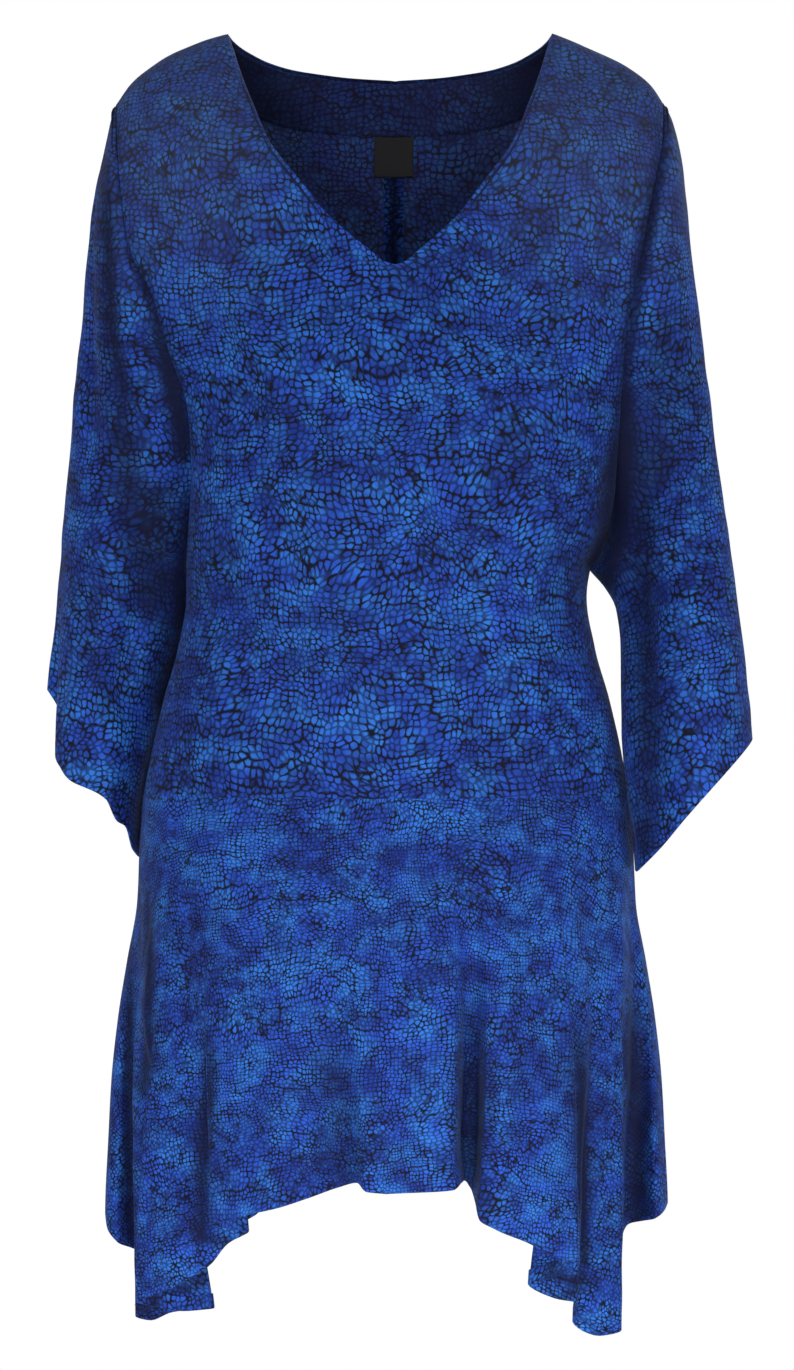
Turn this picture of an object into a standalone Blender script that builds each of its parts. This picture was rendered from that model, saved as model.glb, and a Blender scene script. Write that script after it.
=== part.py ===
"""Tunic top: a V-neck tunic with wide sleeves and a flounce that falls in points, hollow as when worn.

Metres, +Z up. The origin lies midway between the neck points of the two shoulders, where a wearer
carries the garment. The front faces -Y, and the wearer's left is +X.

Every piece of cloth is a surface worked out from short tables, and a wall as thick as the cloth. A
"drop" is a height measured down from the neck points. "across" runs from 0 at a piece's middle or
front seam to 1 at its far seam, and "down" from 0 at its top to 1 at its lower edge.
"""

import bmesh
import bpy
import numpy as np

# Driving dimensions.
CLOTH = 0.0015  # thickness of the cloth, with its turned edges
FACING_CLOTH = 0.0010
LABEL_CLOTH = 0.0008
SEAM_GAP = 0.0003
EDGE_SHARE = 0.55  # of the seam gap, that each piece's edge is drawn in by
MOST_PULL = 1.5  # at a corner, as a multiple of that
NOTHING = 1e-6  # below this a length is taken as none
OPPOSED = 0.5  # cosine between a seam's shared way out and a piece's own, below which they aren't mitred
NECK_HALF = 0.1211  # from the middle to a neck point
V_OFF_CENTRE = 0.0065  # the V's point and the centre-back seam stand a little to the wearer's left
SHOULDER_DROP = 0.052  # where the armhole starts
CLOSING_DROP = 0.35  # from here down to the underarm a sleeve's rings turn from open arcs to ellipses
UNDERARM_DROP = 0.4025
HIP_DROP = 0.570  # the seam between bodice and flounce
SHOULDER_ROUND = 0.130  # how far below the shoulder line the chest reaches its full depth
ROUNDNESS = 2.2  # of the body's rings: 2 is an ellipse
EVEN_FROM = 0.75  # share of the bodice's drop, from which its columns stand evenly round the body
SAG = 1.3  # how soon the rows lose the shape of the neck and shoulders
FACING_ROW = 2  # the facing ends and the label starts at this row of the back
FACING_SHOULDER_COLUMNS = 1  # how far the facing reaches along the shoulder seams
LABEL_SHARE = 0.715  # of the back's middle columns, each 21 mm wide, that the label covers
ARMHOLE_ROUNDING = 2.6  # of the armholes, seen from the side: 2 is an ellipse
HEM_FORM_START = 0.40  # the right sleeve's hem form fades out at this drop
HEM_FORM_POWER = 1.7
VALLEY_START = 0.09  # drops over which a valley fades in and out
VALLEY_END = 0.06
VALLEY_CLEARANCE = 0.06  # share of the way round, by which valleys keep off the seam
VALLEY_CENTRE = 0.04  # from a sleeve's inner line to the line its valleys are pressed towards

# Piece counts: spans of the grids that the walls are made from.
V_SPANS = 7
BACK_NECK_SPANS = 6
SHOULDER_SPANS = 4
NECK_SHARES = {
    "front": V_SPANS / (V_SPANS + SHOULDER_SPANS),
    "back": BACK_NECK_SPANS / (BACK_NECK_SPANS + SHOULDER_SPANS),
}
SLEEVE_HALF_SPANS = 10
SLEEVE_LOWER_SPANS = 7
FLOUNCE_SPANS = 8
HEM_SPAN = 0.0125  # widest step along the hem
ARC_STEPS = 97  # for measuring the length of a sleeve's arc

# Rows of the bodice: drops at its side edges, first down the armholes and then down the side seams.
ARMHOLE_DROPS = (
    0.052, 0.0635, 0.0892, 0.1175, 0.146, 0.175, 0.204, 0.234, 0.264, 0.294, 0.322, 0.348, 0.371,
    0.389, 0.4025,
)
SIDE_DROPS = (0.427, 0.451, 0.475, 0.499, 0.523, 0.547, 0.570)


def table(columns, *rows):
    """A table with named columns, as one array for each name."""
    return dict(zip(columns.split(), np.array(rows, float).T))


# Half width of the neck's edges at a drop.
V_EDGE = table(
    "half drop",
    (0.0, 0.185), (0.0055, 0.1835), (0.0188, 0.1730), (0.0353, 0.1590), (0.0488, 0.1455),
    (0.0597, 0.1310), (0.0728, 0.1140), (0.0892, 0.0905), (0.0986, 0.0670), (0.1085, 0.0408),
    (0.1181, 0.0095), (NECK_HALF, 0.0),
)
BACK_NECK = table(
    "half drop",
    (0.0, 0.0256), (0.035, 0.0240), (0.055, 0.0222), (0.074, 0.0200), (0.093, 0.0155),
    (0.105, 0.0105), (0.1135, 0.0060), (NECK_HALF, 0.0),
)
# The shoulder line, seen from the front, on the wearer's left and right.
SHOULDER = table(
    "left left_drop right right_drop",
    (0.0, -0.050, 0.0, -0.050), (NECK_HALF, 0.0, NECK_HALF, 0.0), (0.142, 0.008, 0.1405, 0.0060),
    (0.1797, 0.0253, 0.1700, 0.0203), (0.1975, 0.0390, 0.1905, 0.0370),
    (0.2065, SHOULDER_DROP, 0.2010, SHOULDER_DROP),
)
# Depth of the bodice in front of and behind the shoulder line, on its centre lines.
DEPTH = table(
    "drop front back",
    (-0.05, 0.060, 0.050), (0.0, 0.072, 0.060), (0.04, 0.088, 0.072), (0.10, 0.107, 0.092),
    (0.185, 0.1185, 0.104), (0.26, 0.130, 0.105), (0.35, 0.123, 0.094), (0.43, 0.116, 0.084),
    (0.50, 0.1145, 0.096), (HIP_DROP, 0.120, 0.118),
)
# How full a ring of the bodice is between its centre and its side edge, and how sharply it turns there.
TURN = table(
    "drop full sharp",
    (0.0, 2.4, 1.15), (0.20, 2.35, 1.18), (0.285, 2.3, 1.25), (0.35, 2.25, 1.65),
    (UNDERARM_DROP, 2.2, 2.05), (0.45, 2.2, 2.2),
    (HIP_DROP, ROUNDNESS, ROUNDNESS),
)
# The bodice's side edges: armhole, then side seam. Half widths, and the depths before rounding.
EDGE = table(
    "drop left_front left_back right_front right_back left_ahead right_ahead behind",
    (SHOULDER_DROP, 0.2065, 0.2065, 0.2010, 0.2010, 0.058, 0.058, 0.062),
    (0.085, 0.2044, 0.2040, 0.1995, 0.1990, 0.058, 0.058, 0.064),
    (0.126, 0.1963, 0.1965, 0.1955, 0.1930, 0.059, 0.059, 0.066),
    (0.165, 0.1888, 0.1900, 0.1897, 0.1870, 0.060, 0.060, 0.066),
    (0.202, 0.1813, 0.1845, 0.1723, 0.1815, 0.060, 0.060, 0.065),
    (0.240, 0.1755, 0.1795, 0.1610, 0.1765, 0.058, 0.056, 0.062),
    (0.285, 0.1728, 0.1745, 0.1468, 0.1710, 0.053, 0.049, 0.057),
    (0.325, 0.1706, 0.1705, 0.1445, 0.1665, 0.044, 0.041, 0.047),
    (0.352, 0.1690, 0.1675, 0.1460, 0.1630, 0.036, 0.034, 0.038),
    (0.378, 0.1640, 0.1620, 0.1480, 0.1580, 0.027, 0.026, 0.028),
    (0.395, 0.1565, 0.1560, 0.1495, 0.1525, 0.020, 0.020, 0.021),
    (UNDERARM_DROP, 0.1527, 0.1527, 0.1500, 0.1500, 0.016, 0.016, 0.017),
    (0.4243, 0.1500, 0.1500, 0.1500, 0.1500, 0.0, 0.0, 0.0),
    (0.4618, 0.1560, 0.1560, 0.1560, 0.1560, 0.0, 0.0, 0.0),
    (0.4993, 0.1669, 0.1669, 0.1669, 0.1669, 0.0, 0.0, 0.0),
    (0.5368, 0.1755, 0.1755, 0.1755, 0.1755, 0.0, 0.0, 0.0),
    (HIP_DROP, 0.1820, 0.1820, 0.1820, 0.1820, 0.0, 0.0, 0.0),
)
# The sleeves' outer lines, from the shoulder over the arm to the hem.
OVERARM_LEFT = table(
    "drop out",
    (SHOULDER_DROP, 0.2065), (0.0665, 0.2140), (0.0875, 0.2194), (0.1153, 0.2232), (0.1475, 0.2269),
    (0.1813, 0.2307), (0.236, 0.2374), (0.2758, 0.2424), (0.3335, 0.2495), (0.3808, 0.2557),
    (0.4288, 0.2610), (0.467, 0.2650), (0.4993, 0.2683), (0.5280, 0.2706),
)
OVERARM_RIGHT = table(
    "drop out",
    (SHOULDER_DROP, 0.2010), (0.0665, 0.2065), (0.0853, 0.2103), (0.119, 0.2183), (0.1595, 0.2233),
    (0.209, 0.2280), (0.2495, 0.2323), (0.2743, 0.2352), (0.3095, 0.2377), (0.3508, 0.2421),
    (0.4183, 0.2494), (0.4805, 0.2566), (0.4918, 0.2575), (0.53, 0.2590),
)
# Sleeve rings, by the drop of their inner or seam side: how much higher their outer side is, how far
# they swell beyond the armhole's depth, and the depth of their outer side.
SLEEVE_LEFT = table(
    "drop rise swell_front swell_back outer_depth",
    (SHOULDER_DROP, 0.0, 0.0005, 0.0005, 0.0), (0.089, 0.004, 0.014, 0.012, 0.0),
    (0.146, 0.008, 0.020, 0.016, 0.0), (0.234, 0.014, 0.020, 0.018, -0.002),
    (0.322, 0.020, 0.030, 0.026, -0.008), (0.371, 0.024, 0.044, 0.038, -0.012),
    (UNDERARM_DROP, 0.0265, 0.054, 0.048, -0.016), (0.46, 0.043, 0.058, 0.050, -0.026),
    (0.54, 0.070, 0.056, 0.050, -0.038), (0.6257, 0.0977, 0.050, 0.048, -0.043),
)
SLEEVE_RIGHT = table(
    "drop rise swell_front swell_back outer_depth",
    (SHOULDER_DROP, 0.0, 0.0005, 0.0005, 0.0), (0.089, 0.004, 0.014, 0.012, 0.0),
    (0.146, 0.008, 0.020, 0.016, 0.0), (0.234, 0.014, 0.022, 0.020, 0.004),
    (0.322, 0.022, 0.034, 0.030, 0.010), (0.371, 0.028, 0.046, 0.040, 0.014),
    (UNDERARM_DROP, 0.034, 0.054, 0.048, 0.018), (0.46, 0.056, 0.056, 0.052, 0.028),
    (0.54, 0.090, 0.054, 0.052, 0.034), (0.618, 0.1262, 0.050, 0.050, 0.026),
)
# The sleeves' inner lines below the underarm, where the tubes close.
INNER_LEFT = table(
    "drop out depth",
    (UNDERARM_DROP, 0.1527, 0.0), (0.4153, 0.1637, -0.004), (0.4312, 0.1715, -0.012),
    (0.459, 0.1742, -0.024), (0.4932, 0.1740, -0.032), (0.520, 0.1748, -0.036),
    (0.5378, 0.1762, -0.038), (0.590, 0.1811, -0.042), (0.6257, 0.1840, -0.043),
)
INNER_RIGHT = table(
    "drop out depth",
    (UNDERARM_DROP, 0.1500, 0.0), (0.415, 0.1512, 0.010), (0.430, 0.1522, 0.020),
    (0.460, 0.1560, 0.030), (0.490, 0.1642, 0.034), (0.520, 0.1724, 0.036), (0.550, 0.1790, 0.036),
    (0.590, 0.1852, 0.032), (0.618, 0.1878, 0.026),
)
# The right sleeve's hem, from its inner line round the front, over the arm and back.
HEM_SLEEVE_RIGHT = table(
    "across out depth drop",
    (0.0, 0.1878, 0.026, 0.6180), (0.08, 0.1911, 0.004, 0.6104), (0.125, 0.1948, -0.008, 0.5935),
    (0.16, 0.2002, -0.016, 0.5895), (0.20, 0.2080, -0.022, 0.5736), (0.325, 0.2381, -0.018, 0.5573),
    (0.37, 0.2440, -0.010, 0.5500), (0.41, 0.2487, 0.001, 0.5405), (0.45, 0.2445, 0.012, 0.5160),
    (0.50, 0.2569, 0.026, 0.4918), (0.57, 0.2500, 0.046, 0.4980), (0.68, 0.2330, 0.066, 0.5180),
    (0.80, 0.2120, 0.074, 0.5480), (0.90, 0.1970, 0.060, 0.5800), (1.0, 0.1878, 0.026, 0.6180),
)
# Half width and depths of the flounce's plain cone, before its folds.
CONE = table(
    "drop half front back",
    (HIP_DROP, 0.1820, 0.120, 0.118), (0.6118, 0.1850, 0.126, 0.123), (0.6493, 0.1868, 0.131, 0.127),
    (0.6943, 0.1946, 0.137, 0.131), (0.7393, 0.2018, 0.143, 0.136), (0.7843, 0.2066, 0.149, 0.140),
    (0.8293, 0.2090, 0.154, 0.144), (0.8743, 0.2112, 0.159, 0.148), (0.970, 0.2125, 0.165, 0.152),
)
# The hem's path, from the centre line to the side seam. "angle" is where a fold's line leaves the
# cone, from 90 degrees at the centre line to 0 at the side, and "start" how far down it begins.
HEM_FRONT_LEFT = table(
    "angle out depth drop start",
    (90.0, 0.0, -0.1600, 0.8492, 0.0), (77.5, 0.0490, -0.1580, 0.8465, 0.15),
    (75.2, 0.0545, -0.1430, 0.8434, 0.15), (73.4, 0.0570, -0.1285, 0.8436, 0.15),
    (71.6, 0.0608, -0.1285, 0.8500, 0.15), (69.6, 0.0638, -0.1420, 0.8590, 0.15),
    (67.5, 0.0658, -0.1545, 0.8680, 0.15),
    (63.0, 0.0776, -0.1560, 0.8748, 0.10), (57.5, 0.1007, -0.1470, 0.8854, 0.05),
    (53.5, 0.1210, -0.1390, 0.8966, 0.05), (49.5, 0.1393, -0.1280, 0.9044, 0.05),
    (47.5, 0.1217, -0.1185, 0.9143, 0.15), (45.5, 0.1040, -0.1100, 0.9215, 0.25),
    (43.5, 0.1225, -0.1010, 0.9324, 0.20), (41.0, 0.1395, -0.0920, 0.9377, 0.10),
    (38.5, 0.1378, -0.0750, 0.9546, 0.10), (35.0, 0.1568, -0.0690, 0.9648, 0.10),
    (30.0, 0.1732, -0.0590, 0.9625, 0.10), (25.5, 0.1460, -0.0430, 0.9420, 0.25),
    (21.0, 0.1700, -0.0270, 0.9160, 0.20), (16.0, 0.1815, -0.0130, 0.8900, 0.15),
    (11.5, 0.1900, -0.0170, 0.8875, 0.10), (7.0, 0.2005, -0.0270, 0.8840, 0.10),
    (3.0, 0.2080, -0.0140, 0.8800, 0.10), (0.0, 0.2112, 0.0, 0.8765, 0.10),
)
HEM_FRONT_RIGHT = table(
    "angle out depth drop start",
    (90.0, 0.0, -0.1600, 0.8492, 0.0), (84.5, 0.0148, -0.1580, 0.8478, 0.3),
    (81.5, 0.0214, -0.1480, 0.8427, 0.3), (77.0, 0.0343, -0.1430, 0.8467, 0.3),
    (70.0, 0.0541, -0.1490, 0.8531, 0.2), (63.0, 0.0756, -0.1470, 0.8604, 0.1),
    (57.0, 0.0980, -0.1390, 0.8665, 0.1), (53.0, 0.1155, -0.1310, 0.8726, 0.2),
    (49.5, 0.1274, -0.1220, 0.8759, 0.25), (48.0, 0.1140, -0.1155, 0.8798, 0.3),
    (46.5, 0.1006, -0.1070, 0.8836, 0.35), (44.5, 0.1150, -0.0985, 0.8931, 0.3),
    (43.0, 0.1279, -0.0945, 0.9091, 0.25), (40.5, 0.1560, -0.0870, 0.9266, 0.20),
    (38.5, 0.1725, -0.0790, 0.9343, 0.20), (36.0, 0.1841, -0.0700, 0.9394, 0.22),
    (33.5, 0.1684, -0.0630, 0.9441, 0.28), (31.0, 0.1479, -0.0580, 0.9481, 0.35),
    (28.4, 0.1277, -0.0510, 0.9472, 0.40), (26.0, 0.1584, -0.0430, 0.9515, 0.32),
    (24.0, 0.1750, -0.0390, 0.9582, 0.25), (21.8, 0.1866, -0.0310, 0.9565, 0.18),
    (17.0, 0.1520, -0.0180, 0.9300, 0.22), (11.5, 0.1890, -0.0030, 0.9103, 0.15),
    (7.0, 0.2015, -0.0150, 0.9030, 0.10), (3.0, 0.2090, -0.0090, 0.8945, 0.10),
    (0.0, 0.2112, 0.0, 0.8840, 0.10),
)
HEM_BACK_LEFT = table(
    "angle out depth drop start",
    (90.0, 0.0, 0.1500, 0.8520, 0.0), (80.0, 0.0250, 0.1400, 0.8500, 0.2),
    (70.0, 0.0520, 0.1480, 0.8540, 0.2), (60.0, 0.0880, 0.1400, 0.8650, 0.1),
    (53.0, 0.1160, 0.1280, 0.8780, 0.1), (49.0, 0.1300, 0.1160, 0.8870, 0.2),
    (46.0, 0.1060, 0.1030, 0.8980, 0.3), (41.0, 0.1400, 0.0900, 0.9150, 0.2),
    (35.0, 0.1690, 0.0760, 0.9330, 0.1), (30.0, 0.1500, 0.0600, 0.9320, 0.25),
    (25.0, 0.1400, 0.0500, 0.9250, 0.25), (19.0, 0.1740, 0.0380, 0.9050, 0.15),
    (12.0, 0.1920, 0.0200, 0.8850, 0.1), (6.0, 0.2040, 0.0180, 0.8800, 0.1),
    (0.0, 0.2112, 0.0, 0.8765, 0.1),
)
HEM_BACK_RIGHT = table(
    "angle out depth drop start",
    (90.0, 0.0, 0.1500, 0.8520, 0.0), (82.0, 0.0200, 0.1520, 0.8530, 0.1),
    (73.0, 0.0450, 0.1400, 0.8510, 0.25), (62.0, 0.0800, 0.1440, 0.8610, 0.1),
    (54.0, 0.1100, 0.1320, 0.8750, 0.1), (49.5, 0.1270, 0.1200, 0.8860, 0.2),
    (46.0, 0.1000, 0.1060, 0.8960, 0.3), (42.0, 0.1380, 0.0930, 0.9140, 0.2),
    (36.0, 0.1680, 0.0800, 0.9310, 0.1), (30.5, 0.1460, 0.0630, 0.9330, 0.25),
    (25.0, 0.1360, 0.0520, 0.9260, 0.3), (19.0, 0.1720, 0.0400, 0.9120, 0.15),
    (12.0, 0.1920, 0.0230, 0.9000, 0.1), (6.0, 0.2040, 0.0190, 0.8920, 0.1),
    (0.0, 0.2112, 0.0, 0.8840, 0.1),
)
HEMS = {
    ("front", 1): HEM_FRONT_LEFT, ("front", -1): HEM_FRONT_RIGHT,
    ("back", 1): HEM_BACK_LEFT, ("back", -1): HEM_BACK_RIGHT,
}
FOLD_POWER = 1.6  # how a fold deepens on its way down to the hem
FOLD_HOLD = 1.2  # how nearly it keeps its hem's form just above the hem
HEM_BEND = 0.92  # of the sleeves' rings, seen from the front: 1 is a straight slant
# Soft valleys pressed into the sleeves: where across the sleeve, how wide, the stretch down it as
# drops of the seam side, and how deep.
SLEEVE_VALLEYS = table(
    "side across width top bottom depth",
    (1, 0.155, 0.085, 0.33, 0.70, 0.0085), (1, 0.80, 0.10, 0.20, 0.60, 0.006),
    (-1, 0.335, 0.080, 0.05, 0.36, 0.0060), (-1, 0.19, 0.10, 0.33, 0.56, 0.0120),
    (-1, 0.78, 0.10, 0.15, 0.55, 0.006),
)

# Colours for telling the pieces apart, and their finish.
COLOURS = {
    "front": (0.020, 0.110, 0.480), "back": (0.012, 0.060, 0.300), "sleeve": (0.020, 0.090, 0.420),
    "flounce": (0.024, 0.130, 0.520), "neck_facing": (0.008, 0.030, 0.160),
    "label": (0.010, 0.010, 0.012),
}
CLOTH_ROUGHNESS = 0.75
SHARP_EDGE = np.radians(50)
SIDE_NAMES = {1: "left", -1: "right"}


def ease(at, knots, values):
    """The smooth curve through a table's rows that never overshoots them, read at any places."""
    at = np.clip(at, knots[0], knots[-1])
    step = np.diff(knots)
    rise = np.diff(values) / step
    slope = np.zeros_like(knots)
    level = rise[:-1] * rise[1:] <= 0
    before = 2 * step[1:] + step[:-1]
    after = step[1:] + 2 * step[:-1]
    steepness = before * rise[1:] + after * rise[:-1]
    blend = (before + after) * rise[:-1] * rise[1:] / np.where(level, 1, steepness)
    slope[1:-1] = np.where(level, 0, blend)
    slope[0] = rise[0]
    slope[-1] = rise[-1]
    span = np.clip(np.searchsorted(knots, at, side="right") - 1, 0, len(step) - 1)
    s = (at - knots[span]) / step[span]
    start = (1 + 2 * s) * (1 - s) ** 2 * values[span] + s * (1 - s) ** 2 * step[span] * slope[span]
    end = s**2 * (3 - 2 * s) * values[span + 1] - s**2 * (1 - s) * step[span] * slope[span + 1]
    return start + end


def along(points, fractions):
    """Places at given fractions of the length of a path through 2-D points."""
    length = np.concatenate([[0], np.cumsum(np.hypot(*np.diff(points, axis=0).T))])
    fine = np.linspace(0, length[-1], 400)
    path = np.stack([ease(fine, length, points[:, i]) for i in range(2)], axis=1)
    walked = np.concatenate([[0], np.cumsum(np.hypot(*np.diff(path, axis=0).T))])
    at = np.asarray(fractions) * walked[-1]
    return np.stack([np.interp(at, walked, path[:, i]) for i in range(2)], axis=-1)


def soften(value, low, high):
    s = np.clip((value - low) / (high - low), 0, 1)
    return s * s * (3 - 2 * s)


# ---- Surfaces ----------------------------------------------------------------------------------


def shoulder_drop(side, out):
    name = SIDE_NAMES[side]
    return ease(out, SHOULDER[name], SHOULDER[name + "_drop"])


def side_edge(side, face, drop):
    """Half width and depth, both unsigned, of a bodice piece's side edge."""
    name = SIDE_NAMES[side]
    half = ease(drop, EDGE["drop"], EDGE[f"{name}_{face}"])
    depths = EDGE["behind"] if face == "back" else EDGE[name + "_ahead"]
    middle = (SHOULDER_DROP + UNDERARM_DROP) / 2
    reach = (UNDERARM_DROP - SHOULDER_DROP) / 2
    rounding = 1 - np.clip(np.abs(drop - middle) / reach, 0, 1) ** ARMHOLE_ROUNDING
    return half, ease(drop, EDGE["drop"], depths) * rounding ** (1 / ARMHOLE_ROUNDING)


def bodice_top(side, face, across):
    """Half width and drop of a bodice piece's top edge: neck edge, then shoulder seam."""
    neck = V_EDGE if face == "front" else BACK_NECK
    neck_share = NECK_SHARES[face]
    neck_edge = along(np.stack([neck["half"], neck["drop"]], axis=1), np.clip(across / neck_share, 0, 1))
    name = SIDE_NAMES[side]
    line = np.stack([SHOULDER[name], SHOULDER[name + "_drop"]], axis=1)[1:]
    beyond = np.clip((across - neck_share) / (1 - neck_share), 0, 1)
    shoulder = along(line, beyond)
    return np.where((across <= neck_share)[..., None], neck_edge, shoulder)


def bodice_point(side, face, across, edge_drop):
    """Points of half of the front or back. edge_drop is the row's drop at the side edge."""
    sign = -1 if face == "front" else 1
    down = (edge_drop - SHOULDER_DROP) / (HIP_DROP - SHOULDER_DROP)
    top = bodice_top(side, face, across)
    tip = SHOULDER[SIDE_NAMES[side]][-1]
    top_share = top[..., 0] / tip
    even_share = np.sin(across * np.pi / 2)
    share = top_share + (even_share - top_share) * soften(down, 0.0, EVEN_FROM)
    half, edge_depth = side_edge(side, face, edge_drop)
    drop = edge_drop + (top[..., 1] - SHOULDER_DROP) * (1 - down) ** SAG
    full = ease(edge_drop, TURN["drop"], TURN["full"])
    sharp = ease(edge_drop, TURN["drop"], TURN["sharp"])
    below = np.clip((drop - shoulder_drop(side, share * half)) / SHOULDER_ROUND, 0, 1)
    rounding = (1 - (1 - below) ** ROUNDNESS) ** (1 / ROUNDNESS)
    centre_depth = ease(drop, DEPTH["drop"], DEPTH[face]) * rounding
    bow = np.clip(1 - share**full, 0, 1) ** (1 / sharp)
    depth = edge_depth + (centre_depth - edge_depth) * bow
    x = side * share * half + V_OFF_CENTRE * (1 - share) * (1 - down)
    return np.stack([x, sign * depth, -drop], axis=-1)


def sleeve_arc(turned, seam_x, seam_depth, outer_x, outer_depth, swell, closed):
    """Part of an ellipse from a sleeve's seam (turned 1) to its outer line (turned 0), seen from above.

    The arguments have a row for each ring. Places are even along the arc. Where the tube is closed, it
    is half an ellipse, slanted to reach the depth of the seam.
    """
    slant = seam_depth - outer_depth
    ahead = np.maximum(slant, 0) * (1 - closed)
    reach = np.sqrt(ahead**2 + swell**2)
    start = np.pi - np.arcsin(ahead / reach)
    centre = (seam_x - outer_x * np.cos(start)) / (1 - np.cos(start))
    angles = start[:, :1] * np.linspace(0, 1, ARC_STEPS)
    across_steps = (outer_x - centre)[:, :1] * np.diff(np.cos(angles))
    steps = np.hypot(across_steps, reach[:, :1] * np.diff(np.sin(angles)))
    walked = np.cumsum(np.concatenate([np.zeros_like(steps[:, :1]), steps], axis=1), axis=1)
    angle = np.array([np.interp(t * w[-1], w, a) for t, w, a in zip(turned, walked, angles)])
    x = centre + (outer_x - centre) * np.cos(angle)
    inward = (outer_x - x) / np.maximum(outer_x - seam_x, NOTHING)
    return x, outer_depth + reach * np.sin(angle) + (slant - ahead) * inward


def sleeve_base(side, across, seam_drop):
    """Sleeve points before its valleys and hem. across runs from the front seam round the arm."""
    name = SIDE_NAMES[side]
    rings = SLEEVE_LEFT if side > 0 else SLEEVE_RIGHT
    inner = INNER_LEFT if side > 0 else INNER_RIGHT
    overarm = OVERARM_LEFT if side > 0 else OVERARM_RIGHT
    outer_drop = seam_drop - ease(seam_drop, rings["drop"], rings["rise"])
    outer_x = ease(outer_drop, overarm["drop"], overarm["out"])
    outer_depth = ease(seam_drop, rings["drop"], rings["outer_depth"])
    inner_x = ease(seam_drop, inner["drop"], inner["out"])
    inner_y = ease(seam_drop, inner["drop"], inner["depth"])
    below = seam_drop >= UNDERARM_DROP
    closed = soften(seam_drop, CLOSING_DROP, UNDERARM_DROP)
    points = []
    for face, sign in (("front", -1), ("back", 1)):
        armhole_x, armhole_depth = side_edge(side, face, seam_drop)
        seam_x = np.where(below, inner_x, armhole_x)
        seam_depth = np.where(below, sign * inner_y, armhole_depth)
        swell = ease(seam_drop, rings["drop"], rings["swell_" + face])
        turned = np.clip(1 - 2 * across if face == "front" else 2 * across - 1, 0, 1)
        x, depth = sleeve_arc(turned, seam_x, seam_depth, outer_x, sign * outer_depth, swell, closed)
        out = np.clip((x - seam_x) / np.maximum(outer_x - seam_x, NOTHING), 0, 1)
        drop = seam_drop + (outer_drop - seam_drop) * out**HEM_BEND
        points.append(np.stack([side * x, sign * depth, -drop], axis=-1))
    return np.where((across <= 0.5)[..., None], points[0], points[1])


def sleeve_point(side, across, seam_drop):
    point = sleeve_base(side, across, seam_drop)
    inner = INNER_LEFT if side > 0 else INNER_RIGHT
    rings = SLEEVE_LEFT if side > 0 else SLEEVE_RIGHT
    hem_drop = inner["drop"][-1]
    centre_x = ease(seam_drop, inner["drop"], inner["out"]) + VALLEY_CENTRE
    outward = point - np.stack([side * centre_x, np.zeros_like(centre_x), point[..., 2]], axis=-1)
    outward /= np.maximum(np.linalg.norm(outward, axis=-1, keepdims=True), NOTHING)
    for valley in np.flatnonzero(SLEEVE_VALLEYS["side"] == side):
        v = {name: column[valley] for name, column in SLEEVE_VALLEYS.items()}
        trough = np.exp(-2 * ((across - v["across"]) / v["width"]) ** 2)
        begun = soften(seam_drop, v["top"], v["top"] + VALLEY_START)
        ended = soften(seam_drop, v["bottom"] - VALLEY_END, v["bottom"])
        off_seam = soften(np.minimum(across, 1 - across), 0.0, VALLEY_CLEARANCE)
        point = point - outward * (trough * begun * (1 - ended) * off_seam * v["depth"])[..., None]
    if side < 0:
        hem = HEM_SLEEVE_RIGHT
        at_hem = sleeve_base(side, across, np.full_like(seam_drop, hem_drop))
        out, depth, drop = (ease(across, hem["across"], hem[name]) for name in ("out", "depth", "drop"))
        place = np.stack([side * out, depth, -drop], axis=-1)
        formed = np.clip((seam_drop - HEM_FORM_START) / (hem_drop - HEM_FORM_START), 0, 1)
        point = point + (place - at_hem) * formed[..., None] ** HEM_FORM_POWER
    return point


def cone_point(side, face, angle, drop):
    sign = -1 if face == "front" else 1
    half = ease(drop, CONE["drop"], CONE["half"])
    depth = ease(drop, CONE["drop"], CONE[face])
    x = half * np.cos(np.radians(angle)) ** (2 / ROUNDNESS)
    y = depth * np.clip(np.sin(np.radians(angle)), 0, 1) ** (2 / ROUNDNESS)
    return np.stack([side * x, sign * y, -drop], axis=-1)


def hem_length(hem):
    """Distance walked along a hem's path at each of its rows."""
    path = np.stack([hem["out"], hem["depth"], hem["drop"]], axis=1)
    return np.concatenate([[0], np.cumsum(np.linalg.norm(np.diff(path, axis=0), axis=1))])


def flounce_point(side, face, walked, down):
    """Points of half of a flounce. walked is the distance along the hem from its centre line."""
    hem = HEMS[face, side]
    length = hem_length(hem)
    row = {name: ease(walked, length, column) for name, column in hem.items()}
    drop = HIP_DROP + (row["drop"] - HIP_DROP) * down
    at_hem = cone_point(side, face, row["angle"], row["drop"])
    place = np.stack([side * row["out"], row["depth"], -row["drop"]], axis=-1)
    deep = np.clip((down - row["start"]) / (1 - row["start"]), 0, 1)
    weight = deep**FOLD_POWER * (1 + FOLD_HOLD * (1 - deep))
    return cone_point(side, face, row["angle"], drop) + (place - at_hem) * weight[..., None]


# ---- Grids -------------------------------------------------------------------------------------


def bodice_grid(side, face):
    neck_spans = V_SPANS if face == "front" else BACK_NECK_SPANS
    across = np.linspace(0, 1, neck_spans + SHOULDER_SPANS + 1)
    rows = np.array(ARMHOLE_DROPS + SIDE_DROPS)
    return bodice_point(side, face, *np.broadcast_arrays(across[None, :], rows[:, None]))


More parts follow.
